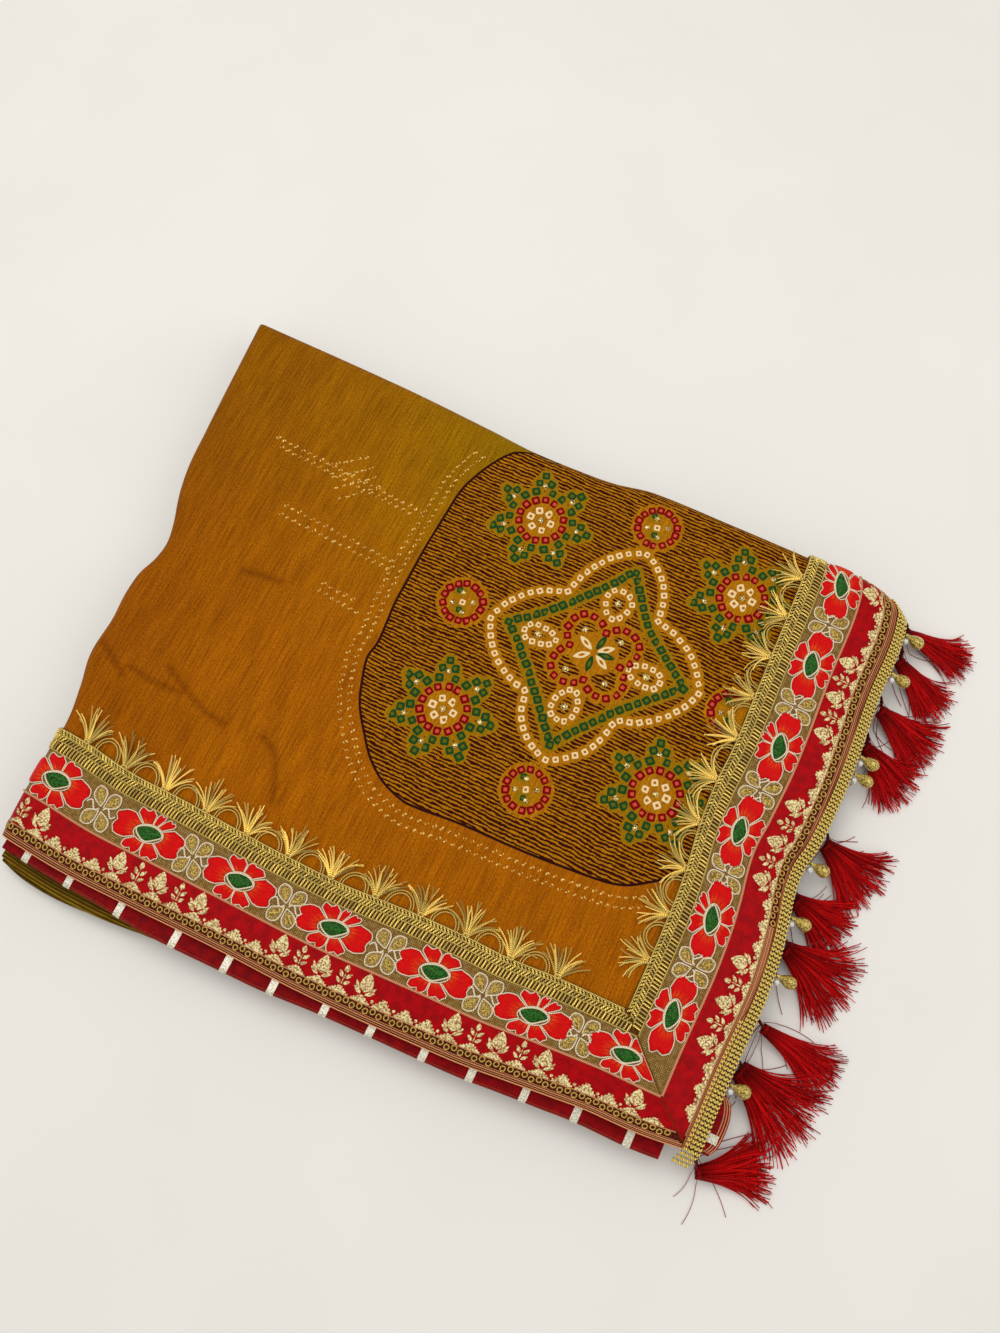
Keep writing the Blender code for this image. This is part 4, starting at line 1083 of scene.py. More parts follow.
# Points on the near, right, far and left side of a ring, and the places of its corners
SIDE_COUNTS = (110, 84, 100, 90)
NEAR_LEFT_Q = -147.0
NEAR_RIGHT_Q = -131.5
FAR_RIGHT_Q = 144.0
FAR_LEFT_Q = 149.0
FAR_LEFT_P = -193.0
MUSTARD = paint(176, 106, 14)
OLIVE = paint(134, 102, 20)


def ring_sides(near, right, far, left):
    """Places along the near, right, far and left side of a ring that lies this far inside the edges."""
    near_left = float(read(LEFT_FOLD, NEAR_LEFT_Q)) + left
    far_right = float(read(RIGHT_EDGE, FAR_RIGHT_Q)) - right
    ends = ((near_left, CORNER_P - right), (NEAR_RIGHT_Q + near, FAR_RIGHT_Q - far),
            (far_right, FAR_LEFT_P + left), (FAR_LEFT_Q - far, NEAR_LEFT_Q + near))
    return [np.linspace(*pair, count, endpoint=False) for pair, count in zip(ends, SIDE_COUNTS)]


def fold_ring(height):
    """Level ring round the folds: the profile at this height, with each thin layer's own small step."""
    heights = [edge[0] for edge in reversed(FOLD_EDGES)]
    near, right, far, left, olive = (
        np.interp(height, heights, [edge[i] for edge in reversed(FOLD_EDGES)]) for i in range(1, 6))
    step = 0.45 * math.sin(height * math.tau / 1.25)
    near_p, right_q, far_p, left_q = ring_sides(near, right, far, left)
    near_wave = 0.7 * np.sin(near_p / 17 + height) + step * (1 + 0.5 * np.sin(near_p / 9 + 3 * height))
    near_q = read(NEAR_EDGE, near_p) + near + near_wave - olive * read(OLIVE_FOLD, near_p)
    right_wave = 0.7 * (1 + np.sin(right_q / 15 + height))
    right_wave += step * (1 + 0.5 * np.sin(right_q / 8 + 3 * height))
    flat = np.concatenate([
        np.column_stack([near_p, near_q]),
        np.column_stack([read(RIGHT_EDGE, right_q) - right - right_wave, right_q]),
        np.column_stack([far_p, read(FAR_FOLD, far_p) - far + step]),
        np.column_stack([read(LEFT_FOLD, left_q) + left - step, left_q]),
    ])
    return np.concatenate([flat, np.full((len(flat), 1), height)], axis=1)


def crown_ring(turn, inset, lower):
    """Ring under the top cloth, `turn` round its folds and `inset` from its open edges."""
    reach = FOLD_RADIUS * (turn - 1)
    near_p, right_q, far_p, left_q = ring_sides(inset, inset, -reach, -reach)
    p = np.concatenate([near_p, read(RIGHT_EDGE, right_q) - inset, far_p, read(LEFT_FOLD, left_q) - reach])
    q = np.concatenate([read(NEAR_EDGE, near_p) + inset, right_q, read(FAR_FOLD, far_p) + reach, left_q])
    return on_cloth(p, q, -CLOTH_WALL - LAYER_GAP - lower)


rings = [fold_ring(height) for height in np.linspace(0, FOLD_TOP, FOLD_RINGS)]
rings += [crown_ring(*row) for row in CROWN_RINGS]
count = len(rings[0])
points = np.concatenate(rings + [[[0, 0, 0.0]], [[0, 20, float(skin(0, 20)[2]) - 3.6]]])
faces = capped_ring_faces(len(rings), count)
near_side = np.clip((points[:, 0] + 60) / 60, 0, 1) * (points[:, 1] < -100)
right_side = (points[:, 0] > 160) * 1.0
mustard_share = np.clip(near_side + right_side, 0, 1)[:, None]
layer_tint = np.array(OLIVE) * (1 - mustard_share) + np.array(MUSTARD) * mustard_share
layer_tint = layer_tint * (0.8 + 0.3 * np.sin(points[:, 2:] * math.tau / 2.6))
beyond = np.maximum.reduce([
    read(NEAR_EDGE, points[:, 0]) - points[:, 1], points[:, 1] - read(FAR_FOLD, points[:, 0]),
    read(LEFT_FOLD, points[:, 1]) - points[:, 0], points[:, 0] - read(RIGHT_EDGE, points[:, 1])])
unrolled = beyond - points[:, 2]
around = np.concatenate([np.arange(count) * 1.6] * len(rings) + [[0, 0]])
place = np.stack([around, points[:, 2]], axis=-1) * MM
folds_part = (points, facing_out(points, faces), place, layer_tint)
folds = make_piece("folded_layers", [folds_part], layer_finish, {"unrolled": unrolled})
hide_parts("hidden_folds")
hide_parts("top_cloth")

# %% [markdown]
# ## The borders
#
# Four trims are sewn side by side along the long edge and across the end: the red band, the lace, the gimp
# and its fans. The first three meet in a mitre at the corner. A border place is (side, along, depth): how far
# along the side, and how far in from the open edge, in millimetres. One function turns such places into
# points, so every motif bends with the cloth.

# %% Places on the borders
ZARI_DEPTH = 0.40 * BORDER_DEPTH
LACE_DEPTH = 0.80 * BORDER_DEPTH
SIDES = ("long", "pallu")
# The strips' points across and along them, their room beside each other and their height above the cloth
STRIP_COLUMNS = 200
STRIP_GAP = 0.2
STRIP_LOW = 0.5
PATH_STEP = 1.5


def border_place(side, along, depth):
    along, depth = np.broadcast_arrays(np.asarray(along, float), np.asarray(depth, float))
    if side == "long":
        return along, mix(read(NEAR_EDGE, along), read(FAN_ROOT_LONG, along), depth / BORDER_DEPTH)
    return mix(read(RIGHT_EDGE, along), read(FAN_ROOT_PALLU, along), depth / BORDER_DEPTH), along


def border_ends(side, depth):
    """Where a line at this depth starts and ends: at a fold on one side, at the mitre on the other."""
    mitre = CORNER_P - MITRE_RUN * depth / BORDER_DEPTH
    if side == "long":
        return float(read(LEFT_FOLD, -120.0)) + FOLD_RADIUS * (1 - FOLD_TURN), mitre - SEAM
    return (border_place("long", mitre, depth)[1] + SEAM,
            float(read(FAR_FOLD, 150.0)) - FOLD_RADIUS * (1 - FOLD_TURN))


def on_border(side, along, depth, out):
    return on_cloth(*border_place(side, along, depth), out)


def braid_cover(side, along):
    """How far the braid hides the band's outer edge: more and more towards the near corner."""
    return 3.6 * np.clip((95 - along) / 150, 0, 1) * (side == "pallu")


def border_strip(side, outer_depth, inner_depth, high, rows):
    """A closed strip between two depths. Its UV map is (along, depth), moved where the braid covers it."""
    depth = np.linspace(outer_depth + STRIP_GAP, inner_depth - STRIP_GAP, rows)[:, None]
    first, last = border_ends(side, depth)
    along = mix(first, last, np.linspace(0, 1, STRIP_COLUMNS)[None, :])
    depth = np.broadcast_to(depth, along.shape)
    place = np.stack([along, depth + braid_cover(side, along)], axis=-1)
    return skin_part(on_border(side, along, depth, high), on_border(side, along, depth, STRIP_LOW), place)


def border_line(side, depth, out, start=0.0, woven=False):
    """A path along a border at one depth, or along a woven line that the braid moves."""
    first, last = border_ends(side, depth)
    along = np.arange(first + start, last, PATH_STEP)
    return on_border(side, along, depth - woven * braid_cover(side, along), out)


print("long border:", [round(float(v)) for v in border_ends("long", 0.0)], "mm")

# %% The red band, the net and the gimp's ground
for side in SIDES:
    strip = border_strip(side, 0.0, ZARI_DEPTH, 1.25, 12)
    zari = make_piece(f"red_band_{side}", [strip], zari_finish)
    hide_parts(f"zari_band_{side}")
    strip = border_strip(side, ZARI_DEPTH, LACE_DEPTH, 1.15, 12)
    net = make_piece(f"lace_net_{side}", [strip], net_finish)
    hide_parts(f"flower_lace_{side}")
    strip = border_strip(side, LACE_DEPTH, BORDER_DEPTH, 1.0, 8)
    ground = make_piece(f"gimp_ground_{side}", [strip], gimp_ground)
    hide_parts(f"gimp_band_{side}")

# %% [markdown]
# ### Woven figures of the red band
#
# The loom brings gold weft to the face to draw buds, small plants and stepped pyramids. Each figure is a thin
# raised pad with its own outline. The outlines are simple leaf shapes, turned and moved, so one helper makes
# them all.

# %% Pads with an outline
# Heights above the cloth, and the depth of the bevel
PAD_LOW = 1.1
PAD_HIGH = 1.5
FIGURE_HIGH = 1.55
PAD_BEVEL = 0.12


def leaf_shape(length, half, fullness=0.8, count=7):
    """Outline (u, v) of a leaf that starts at the origin and points inward."""
    share = np.linspace(0, 1, count)
    width = half * np.sin(math.pi * share**fullness) ** 0.8
    return np.column_stack([np.concatenate([width, -width[-2:0:-1]]),
                            np.concatenate([share, share[-2:0:-1]]) * length])


def turned(shape, degrees, u, v):
    angle = math.radians(degrees)
    turn_matrix = np.array([[math.cos(angle), math.sin(angle)], [-math.sin(angle), math.cos(angle)]])
    return shape @ turn_matrix + (u, v)


def disc_shape(radius, u, v, count=8):
    angle = np.linspace(0, math.tau, count, endpoint=False)
    return np.column_stack([u + radius * np.cos(angle), v + radius * np.sin(angle)])


def stepped_shape(base, height, steps=3):
    """Outline of a stepped pyramid on the line v = 0."""
    right = []
    for i in range(steps):
        half = base / 2 * (1 - i / steps)
        right += [(half, height * i / steps), (half, height * (i + 1) / steps)]
    return np.array(right + [(-u, v) for u, v in reversed(right)])


def pad_part(side, along, shape, high):
    """A closed pad on a border, with a bevelled rim."""
    middle = shape.mean(axis=0)
    levels = ((0.6, high), (0.85, high), (1.0, high - PAD_BEVEL), (1.0, PAD_LOW))
    rings = [middle + (shape - middle) * share for share, _ in levels] + [middle[None, :]] * 2
    outs = [out for _, out in levels] + [high, PAD_LOW]
    points = np.concatenate([
        on_border(side, along + ring[:, 0], ring[:, 1], out) for ring, out in zip(rings, outs)])
    faces = facing_out(points - points.mean(axis=0), capped_ring_faces(len(levels), len(shape)))
    return points, faces, (np.concatenate(rings) + (along, 0)) * MM, WHITE


# %% Buds, plants, pyramids and rings
BUD_SHAPES = (
    turned(leaf_shape(8.4, 3.1, 0.72), 4, 0.3, 11.6), turned(leaf_shape(4.8, 0.85), 62, -0.9, 10.6),
    turned(leaf_shape(4.8, 0.85), -62, 0.9, 10.6), turned(leaf_shape(4.6, 0.8), 36, -2.4, 11.8),
    turned(leaf_shape(3.8, 0.75), -36, 2.6, 11.8),
)
PLANT_SHAPES = (
    turned(leaf_shape(3.4, 1.2), 8, 0.0, 16.2), turned(leaf_shape(3.6, 0.85), 42, -0.7, 13.8),
    turned(leaf_shape(3.6, 0.85), -42, 0.7, 13.8), turned(leaf_shape(3.4, 0.8), 52, -0.7, 11.2),
    turned(leaf_shape(3.4, 0.8), -52, 0.7, 11.2), turned(leaf_shape(5.6, 0.3), 0, 0.0, 10.6),
)
# The figures of one repeat, whose last three places stay empty
REPEAT = (BUD_SHAPES, PLANT_SHAPES, BUD_SHAPES, PLANT_SHAPES, BUD_SHAPES, (), (), ())
FIGURE_PLACES = 36
# Each side's first figure and the pitch from one pyramid to the next
FIGURES = {"long": (-192.0, 10.7), "pallu": (-163.8, 9.6)}
PYRAMID_DEPTH = 11.0
FIGURE_DEPTH = 18.5
RING_PITCH = 3.3
RINGS_END = -27.0
# (depth, radius, tone) of the lines along the band's outer edge, and of those that take the rings' place
EDGE_LINES = ((0.5, 0.3, 1.35), (1.5, 0.22, 0.95), (2.4, 0.26, 1.25), (3.2, 0.2, 0.9))
CORNER_LINES = ((4.1, 0.3, 1.2), (4.8, 0.3, 0.75), (5.5, 0.3, 1.25), (6.3, 0.3, 0.8))
LINE_OUT = 1.35


def old_gold(tone):
    return (tone, tone * 0.95, tone * 0.8, 1)


def ring_path(side, along, depth, radius, out):
    angle = np.linspace(0, math.tau, 11)
    return on_border(side, along + radius * np.cos(angle), depth + radius * np.sin(angle), out)


def clear_of_mitre(side, along, depth, room):
    """Whether a figure keeps clear of the mitre and of the fold at the band's far end."""
    first, last = border_ends(side, depth)
    return first + room < along < last - room


for side in SIDES:
    pads, rings, lines = [], [], []
    begin, pitch = FIGURES[side]
    for number in range(FIGURE_PLACES):
        along = begin + pitch * number
        in_repeat = number % len(REPEAT)
        covered = (0, braid_cover(side, along))
        if clear_of_mitre(side, along, PYRAMID_DEPTH, 4.6):
            pyramid = stepped_shape(9.4, 4.6 if in_repeat > 4 else 3.0, 4) + (0, 7.3)
            pads.append(pad_part(side, along, pyramid - covered, PAD_HIGH))
            if in_repeat > 3 and clear_of_mitre(side, along + pitch / 2, PYRAMID_DEPTH, 4.0):
                dot = disc_shape(0.75, 0, 9.4)
                pads.append(pad_part(side, along + pitch / 2, dot - covered, PAD_HIGH))
        if clear_of_mitre(side, along, FIGURE_DEPTH, 4.0):
            pads += [pad_part(side, along, shape - covered, FIGURE_HIGH) for shape in REPEAT[in_repeat]]
    first, last = border_ends(side, 6.0)
    for number, along in enumerate(np.arange(float(first) + 2, float(last) - 2, RING_PITCH)):
        depth = 4.8 - braid_cover(side, along)
        if side == "long" or along > RINGS_END:
            path = ring_path(side, along, depth + 0.9 * (number % 2), 1.15, 1.4)
            rings.append((path, 0.32, (1, 0.9, 0.8, 1)))
    for depth, radius, tone in EDGE_LINES:
        lines.append((border_line(side, depth, LINE_OUT, woven=True), radius, old_gold(tone)))
    lines.append((border_line(side, 7.1, LINE_OUT, woven=True), 0.3, (0.9, 0.9, 0.8, 1)))
    if side == "pallu":
        # Near the corner the braid hides the rings, and close lines of gold fill the edge instead
        along = np.arange(border_ends(side, 0.0)[0], RINGS_END, PATH_STEP)
        for depth, radius, tone in CORNER_LINES:
            path = on_border(side, along, depth - braid_cover(side, along), LINE_OUT)
            lines.append((path, radius, old_gold(tone)))
    lines.append((border_line(side, ZARI_DEPTH, 1.5), 0.62, WHITE))
    make_piece(f"zari_figures_{side}", pads, zari_thread)
    thread_all(f"zari_rings_{side}", rings, 5, gold_thread)
    thread_all(f"zari_lines_{side}", lines, 6, copper_cord)

# %% [markdown]
# ### Embroidered flowers
#
# Each flower is an oval of six or seven petals, worked in red silk with an orange base, round a green bean.
# A petal is a low dome: a grid whose height falls to nothing at its rim. A silver-gold cord is couched round
# every petal, so the cord is a path that follows the petal's rim.

# %% Petals, centres and cords
FLOWERS = {"long": (-153, -101, -52, -3, 47, 95, 139), "pallu": (-83, -37, 6, 51, 96, 141)}
LEAVES = {"long": (-127, -77, -27, 23, 71, 117), "pallu": (-60, -15, 28, 73, 119)}
LACE_MIDDLE = 0.60 * BORDER_DEPTH
PETALS = ((148, 212), (92, 146), (34, 90), (-32, 32), (-88, -34), (-146, -90))
PETALS_SPLIT = ((148, 212), (92, 146), (62, 90), (34, 60), (-32, 32), (-88, -34), (-146, -90))
PETAL_COLUMNS = 13
FLOWER_REACH = (18.2, 10.0)
CENTRE_REACH = (6.3, 3.2)
CENTRE_TILT = math.radians(10)
MITRE_ROOM = 1.2
SHADOW = (0.16, 0.06, 0.03, 1)


def oval(angle, reach):
    return 1 / np.sqrt((np.cos(angle) / reach[0]) ** 2 + (np.sin(angle) / reach[1]) ** 2)


def petal_outline(first, last):
    """Inner and outer radius over a petal's angles, rounded at both of its outer corners."""
    angle = np.radians(np.linspace(first + 1.5, last - 1.5, PETAL_COLUMNS))
    share = np.linspace(-1, 1, PETAL_COLUMNS)
    ragged = 0.03 * np.sin(7 * share + first) + 0.02 * np.sin(13 * share + last)
    notch = 0.09 * np.exp(-((share / 0.22) ** 2))
    outer = oval(angle, FLOWER_REACH) * (1.03 - 0.2 * share**4 - notch + ragged)
    inner = oval(angle - CENTRE_TILT, CENTRE_REACH) + 0.9
    return angle, inner, outer


def mitred(side, along, depth):
    """Keeps a motif's points just short of the mitre."""
    mitre = CORNER_P - MITRE_RUN * depth / BORDER_DEPTH
    if side == "long":
        return np.minimum(along, mitre - MITRE_ROOM)
    return np.maximum(along, border_place("long", mitre, depth)[1] + MITRE_ROOM)


def motif_points(side, middle, u, v, out):
    depth = LACE_MIDDLE + v
    return on_border(side, mitred(side, middle + u, depth), depth, out)


def petal_part(side, middle, first, last):
    angle, inner, outer = petal_outline(first, last)
    share = np.linspace(0, 1, 8)[:, None]
    radius = mix(inner[None, :], outer[None, :], share)
    u, v = radius * np.cos(angle), radius * np.sin(angle)
    side_rise = np.sqrt(np.maximum(0, 1 - np.linspace(-1, 1, PETAL_COLUMNS)[None, :] ** 4))
    rise = side_rise * np.sqrt(1 - (2 * share - 1) ** 6)
    place = np.stack([np.broadcast_to(share, u.shape), np.broadcast_to(angle, u.shape) * 3], axis=-1)
    top = motif_points(side, middle, u, v, 1.25 + 1.1 * rise)
    return skin_part(top, motif_points(side, middle, u, v, 1.0), place)


def petal_cord(side, middle, first, last, grow=0.0, out=1.7):
    """A cord round a petal's rim, `grow` outside it."""
    angle, inner, outer = petal_outline(first, last)
    inner, outer = inner - grow, outer + grow
    radius = np.concatenate([outer, mix(outer[-1], inner[-1], np.linspace(0.15, 0.85, 6)), inner[::-1],
                             mix(inner[0], outer[0], np.linspace(0.15, 0.85, 6))])
    around = np.concatenate([angle, np.full(6, angle[-1]), angle[::-1], np.full(6, angle[0])])
    radius, around = np.append(radius, radius[0]), np.append(around, around[0])
    return motif_points(side, middle, radius * np.cos(around), radius * np.sin(around), out)


def centre_part(side, middle):
    angle = np.linspace(0, math.tau, 21)[None, :]
    share = np.linspace(0.02, 1, 6)[:, None]
    radius = oval(angle, (CENTRE_REACH[0] - 0.2, CENTRE_REACH[1] - 0.2)) * share
    angle = angle + CENTRE_TILT
    bean = 0.7 * (share * np.cos(angle)) ** 2
    u, v = radius * np.cos(angle), radius * np.sin(angle) * (0.55 + 0.45 * np.abs(np.sin(angle))) + bean
    rise = np.sqrt(1 - (share * 0.98) ** 2) * np.ones_like(u)
    top = motif_points(side, middle, u, v, 1.3 + 1.0 * rise)
    return skin_part(top, motif_points(side, middle, u, v, 1.0), np.stack([u, v], axis=-1))


def centre_cord(side, middle, out=1.6, grow=0.35):
    angle = np.linspace(0, math.tau, 25)
    radius = oval(angle, (CENTRE_REACH[0] + grow, CENTRE_REACH[1] + grow))
    angle = angle + CENTRE_TILT
    u = radius * np.cos(angle)
    v = radius * np.sin(angle) * (0.55 + 0.45 * np.abs(np.sin(angle))) + 0.7 * np.cos(angle) ** 2
    return motif_points(side, middle, u, v, out)


for side in SIDES:
    petals, centres, cords = [], [], []
    for number, middle in enumerate(FLOWERS[side]):
        for first, last in PETALS_SPLIT if number % 2 else PETALS:
            petals.append(petal_part(side, middle, first, last))
            cords.append((petal_cord(side, middle, first, last), 0.28, WHITE))
            cords.append((petal_cord(side, middle, first, last, -0.55, 1.45), 0.2, SHADOW))
        centres.append(centre_part(side, middle))
        cords.append((centre_cord(side, middle), 0.38, WHITE))
    make_piece(f"petals_{side}", petals, petal_finish)
    make_piece(f"flower_centres_{side}", centres, green_silk)
    thread_all(f"flower_cords_{side}", cords, 6, silver_cord)

# %% [markdown]
# ### Leaf clusters
#
# Between the flowers stand four pointed loops of the same cord, filled with gold thread, and joined to the
# flowers by short curls.

# %% Leaf clusters
LEAF_LONG = 9.2
LEAF_HALF = 3.2
LEAF_TURNS = (55, 125, 235, 305)
# The cords of a leaf: (share where it starts, share where it ends, how far aside, height, radius, tint)
LEAF_CORDS = ((0.0, 1.0, 1.0, 1.55, 0.34, WHITE), (0.16, 0.84, 0.6, 1.85, 0.24, (0.42, 0.34, 0.2, 1)))


def leaf_flat(angle, share, side_sign):
    """A point of a drop-shaped loop: `share` runs from its root to its tip on one side."""
    reach = 1.2 + LEAF_LONG * share
    aside = side_sign * LEAF_HALF * np.sin(math.pi * share**1.35) ** 0.75
    return reach * np.cos(angle) - aside * np.sin(angle), reach * np.sin(angle) + aside * np.cos(angle)


for side in SIDES:
    fillings, cords = [], []
    for middle in LEAVES[side]:
        for degrees in LEAF_TURNS:
            angle = math.radians(degrees)
            share = np.linspace(0.04, 0.97, 9)[:, None]
            across = np.linspace(-0.9, 0.9, 5)[None, :]
            u, v = leaf_flat(angle, share, across)
            top = motif_points(side, middle, u, v, 1.25 + 0.6 * np.sqrt(1 - across**2) * np.ones_like(u))
            fillings.append(skin_part(top, motif_points(side, middle, u, v, 1.0), np.stack([u, v], axis=-1)))
            for first, last, aside, out, radius, tint in LEAF_CORDS:
                share = mix(first, last, np.linspace(0, 1, 12))
                halves = [leaf_flat(angle, share, aside), leaf_flat(angle, share[::-1], -aside)]
                u, v = np.concatenate(halves, axis=1)
                cords.append((motif_points(side, middle, u, v, out), radius, tint))
        for way in (-1, 1):
            u = way * np.linspace(1.0, 8.0, 10)
            v = 1.6 * np.sin(np.linspace(0, math.tau, 10)) * way
            cords.append((motif_points(side, middle, u, v, 1.5), 0.4, WHITE))
    make_piece(f"leaf_filling_{side}", fillings, leaf_filling)
    thread_all(f"leaf_cords_{side}", cords, 6, silver_cord)

# %% [markdown]
# ### Gimp, loops and fans
#
# The gimp is a ladder of short slanted bars of gold thread. On its inner side gold cord makes arches, and
# between them fans of loose thread. Every bar and thread is a short path, and one tree sweeps them all.

# %% Ladder bars
BAR_PITCH = 1.75
# (depth of a row's middle, half length of its bars, slant)
GIMP_ROWS = ((43.6, 2.0, 0.35), (47.2, 1.2, 0.8), (49.6, 1.1, -0.8))
GIMP_CORDS = (41.3, 45.8, 48.4)
FANS = {"long": (-150, 12), "pallu": (-66, 10)}
FAN_PITCH = 22.5
FAN_REACH = 16.4
FAN_SPREAD = 0.85
FAN_RISE = 2.6
ARCH_HALF_WIDTH = 6.8
ARCH_HEIGHT = 7.4

rng = np.random.default_rng(7)
for side in SIDES:
    bars = []
    for depth, half, slant in GIMP_ROWS:
        first, last = border_ends(side, depth)
        for along in np.arange(float(first) + 1, float(last) - 1, BAR_PITCH):
            share = np.linspace(-1, 1, 4)
            path = on_border(side, along + slant * share, depth + half * share, 1.25 + 0.5 * (1 - share**2))
            bars.append((path, 0.44, grey(rng.uniform(0.6, 1.9))))
    for depth in GIMP_CORDS:
        bars.append((border_line(side, depth, 1.7), 0.32, grey(0.9)))
    thread_all(f"gimp_bars_{side}", bars, 5, gold_thread)

# %% Arches and fans
for side in SIDES:
    first, number_of_fans = FANS[side]
    cords, threads = [(border_line(side, BORDER_DEPTH - 1.0, 1.5, 0.9), 0.42, WHITE)], []
    for number in range(number_of_fans):
        middle = first + number * FAN_PITCH
        if number < number_of_fans - 1:
            angle = np.linspace(0, math.pi, 15)
            for grow in (0.0, -1.3):
                u = middle + FAN_PITCH / 2 + (ARCH_HALF_WIDTH + grow) * np.cos(angle)
                v = BORDER_DEPTH - 0.6 + (ARCH_HEIGHT + grow) * np.sin(angle)
                cords.append((on_border(side, u, v, 1.0 + 0.2 * np.sin(angle)), 0.32, WHITE))
        knot = np.linspace(0, 2 * math.tau, 22)
        u, v = middle + 1.3 * np.cos(knot), BORDER_DEPTH - 0.4 + 0.8 * np.sin(knot)
        cords.append((on_border(side, u, v, 1.6 + 0.1 * knot), 0.36, (1.25, 1.25, 1.5, 1)))
        for angle in np.linspace(-FAN_SPREAD, FAN_SPREAD, 18):
            share = np.linspace(0, 1, 6)
            reach = FAN_REACH * (1 - 0.12 * abs(angle)) * rng.uniform(0.72, 1.04)
            bend = angle * (0.6 + 0.45 * share) + rng.normal(0, 0.07) + rng.normal(0, 0.12) * share**2
            u = middle + 1.2 * np.sin(angle) + reach * share * np.sin(bend)
            v = BORDER_DEPTH - 0.8 + reach * share * np.cos(bend)
            rise = 1.0 + FAN_RISE * share**1.3 * rng.uniform(0.1, 1.0)
            tone = rng.uniform(0.5, 2.3)
            threads.append((on_border(side, u, v, rise), mix(0.4, 0.25, share), (tone, tone, tone * 1.1, 1)))
    arches = thread_all(f"gimp_arches_{side}", cords, 6, gold_thread)
    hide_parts(f"gimp_fans_{side}")
    thread_all(f"fan_threads_{side}", threads, 4, gold_thread)

# %% [markdown]
# ## Braid, piping, tassels and beads
#
# The end's raw edge is covered by a braid of chain stitch, three columns wide and four near the corner. The
# piping is the red satin edge of the next layer, with small metal plates. Ten silk tassels and eight drop
# beads hang from the braid.

# %% Braid stitches
BRAID_GAP = 0.5
BRAID_WIDTH = 5.2
# How far each column of stitches lies outside the cloth's edge; the innermost lies on the red band
BRAID_COLUMNS = (4.9, 2.9, 0.9, -1.1)
WIDE_BRAID_END = -72.0
STITCH_PITCH = 2.1
BRAID_TAIL = 7.0


def beside_edge(q, across, out):
    """Points along the pallu's edge, which droop past its near end."""
    first = float(border_ends("pallu", 0.0)[0])
    past = np.maximum(0, first - q)
    held = np.maximum(q, first)
    down = np.stack([-0.35 * past, -past, -0.5 * past], axis=-1)
    return on_cloth(read(RIGHT_EDGE, held) + across, held, out) + down


stitches = []
first, last = (float(end) for end in border_ends("pallu", 0.0))
share = np.linspace(0, 1, 6)
for column in BRAID_COLUMNS:
    crown = 2.0 - 0.06 * (column - 1.9) ** 2
    column_end = WIDE_BRAID_END if column < 0 else mix(first, last, 0.98)
    for q in np.arange(first - BRAID_TAIL, column_end, STITCH_PITCH):
        for way in (-1, 1):
            path = beside_edge(q + 2.0 * share, column + way * (0.05 + 0.85 * share), crown + 0.45 * share)
            # Painted highlight and shade: each stitch is bright in its middle and dark at both ends
            tone = 0.3 + 1.15 * np.sin(math.pi * share) ** 0.9
            tint = np.column_stack([tone, tone, tone, np.ones(6)])
            stitches.append((path, 0.22 + 0.26 * np.sin(math.pi * share), tint))
q = np.arange(first, last - 3, PATH_STEP)
braid_inside = -0.4 - 1.9 * np.clip((WIDE_BRAID_END + 6 - q) / 12, 0, 1)
stitches.append((beside_edge(q, braid_inside, 1.6), 0.3, (0.5, 0.1, 0.06, 1)))
for across in (1.9, 3.9):
    stitches.append((beside_edge(q, across, 1.6), 0.4, SHADOW))
thread_all("braid_stitches", stitches, 5, gold_thread)
# The braid's own solid stays in view as the dark core between the stitches
for node in bpy.data.objects:
    if node.name == "pallu_braid":
        node.material_slots[0].material = braid_core
print("braid stitches:", len(stitches))

# %% Piping and the flap at the corner
PIPING_HEIGHT = 18.3
PIPING_OUT = ((-164, 5), (-149, 5), (-110, 6), (-80, 8.5), (-30, 8), (10, 5.5), (80, 6), (130, 7), (176, 8))
FLAP_OUT = ((-130, 10), (-126, 12.5), (-118, 13.5), (-111, 13), (-106, 11), (-103, 7.5))


def piping_part():
    start = float(read(LEFT_FOLD, -147.0)) + 3
    p = np.linspace(start, 170, 160)[None, :]
    share = np.linspace(0, 1, 9)[:, None]
    outer = read(NEAR_EDGE, p) - read(PIPING_OUT, p)
    inner = read(NEAR_EDGE, p) - 0.6 + 7.5 * np.minimum(1, (p - start) / 16)
    y = mix(inner, outer, share)
    x = np.broadcast_to(p, y.shape)
    round_off = np.sqrt(1 - np.clip((share - 0.85) / 0.15, 0, 1) ** 2) * np.ones_like(y)
    top = np.stack([x, y, PIPING_HEIGHT + 0.62 * round_off + 0.12 * np.sin(x / 6)], axis=-1)
    bottom = np.stack([x, y, PIPING_HEIGHT - 0.6 * round_off + 0.12 * np.sin(x / 6)], axis=-1)
    return skin_part(top, bottom, np.stack([x, 20 + y - read(NEAR_EDGE, p)], axis=-1))


piping = make_piece("red_piping", [piping_part()], piping_finish)
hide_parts("edge_piping_long")


def flap_part():
    q = np.linspace(-130, -103, 30)[:, None]
    share = np.linspace(0, 1, 14)[None, :]
    x = read(RIGHT_EDGE, q) + mix(-7.5, read(FLAP_OUT, q), share)
    y = np.broadcast_to(q, x.shape)
    top = np.stack([x, y, np.full_like(x, PIPING_HEIGHT + 0.6)], axis=-1)
    bottom = np.stack([x, y, np.full_like(x, PIPING_HEIGHT - 0.6)], axis=-1)
    return skin_part(top, bottom, np.stack([y, 20 + x * 0], axis=-1))


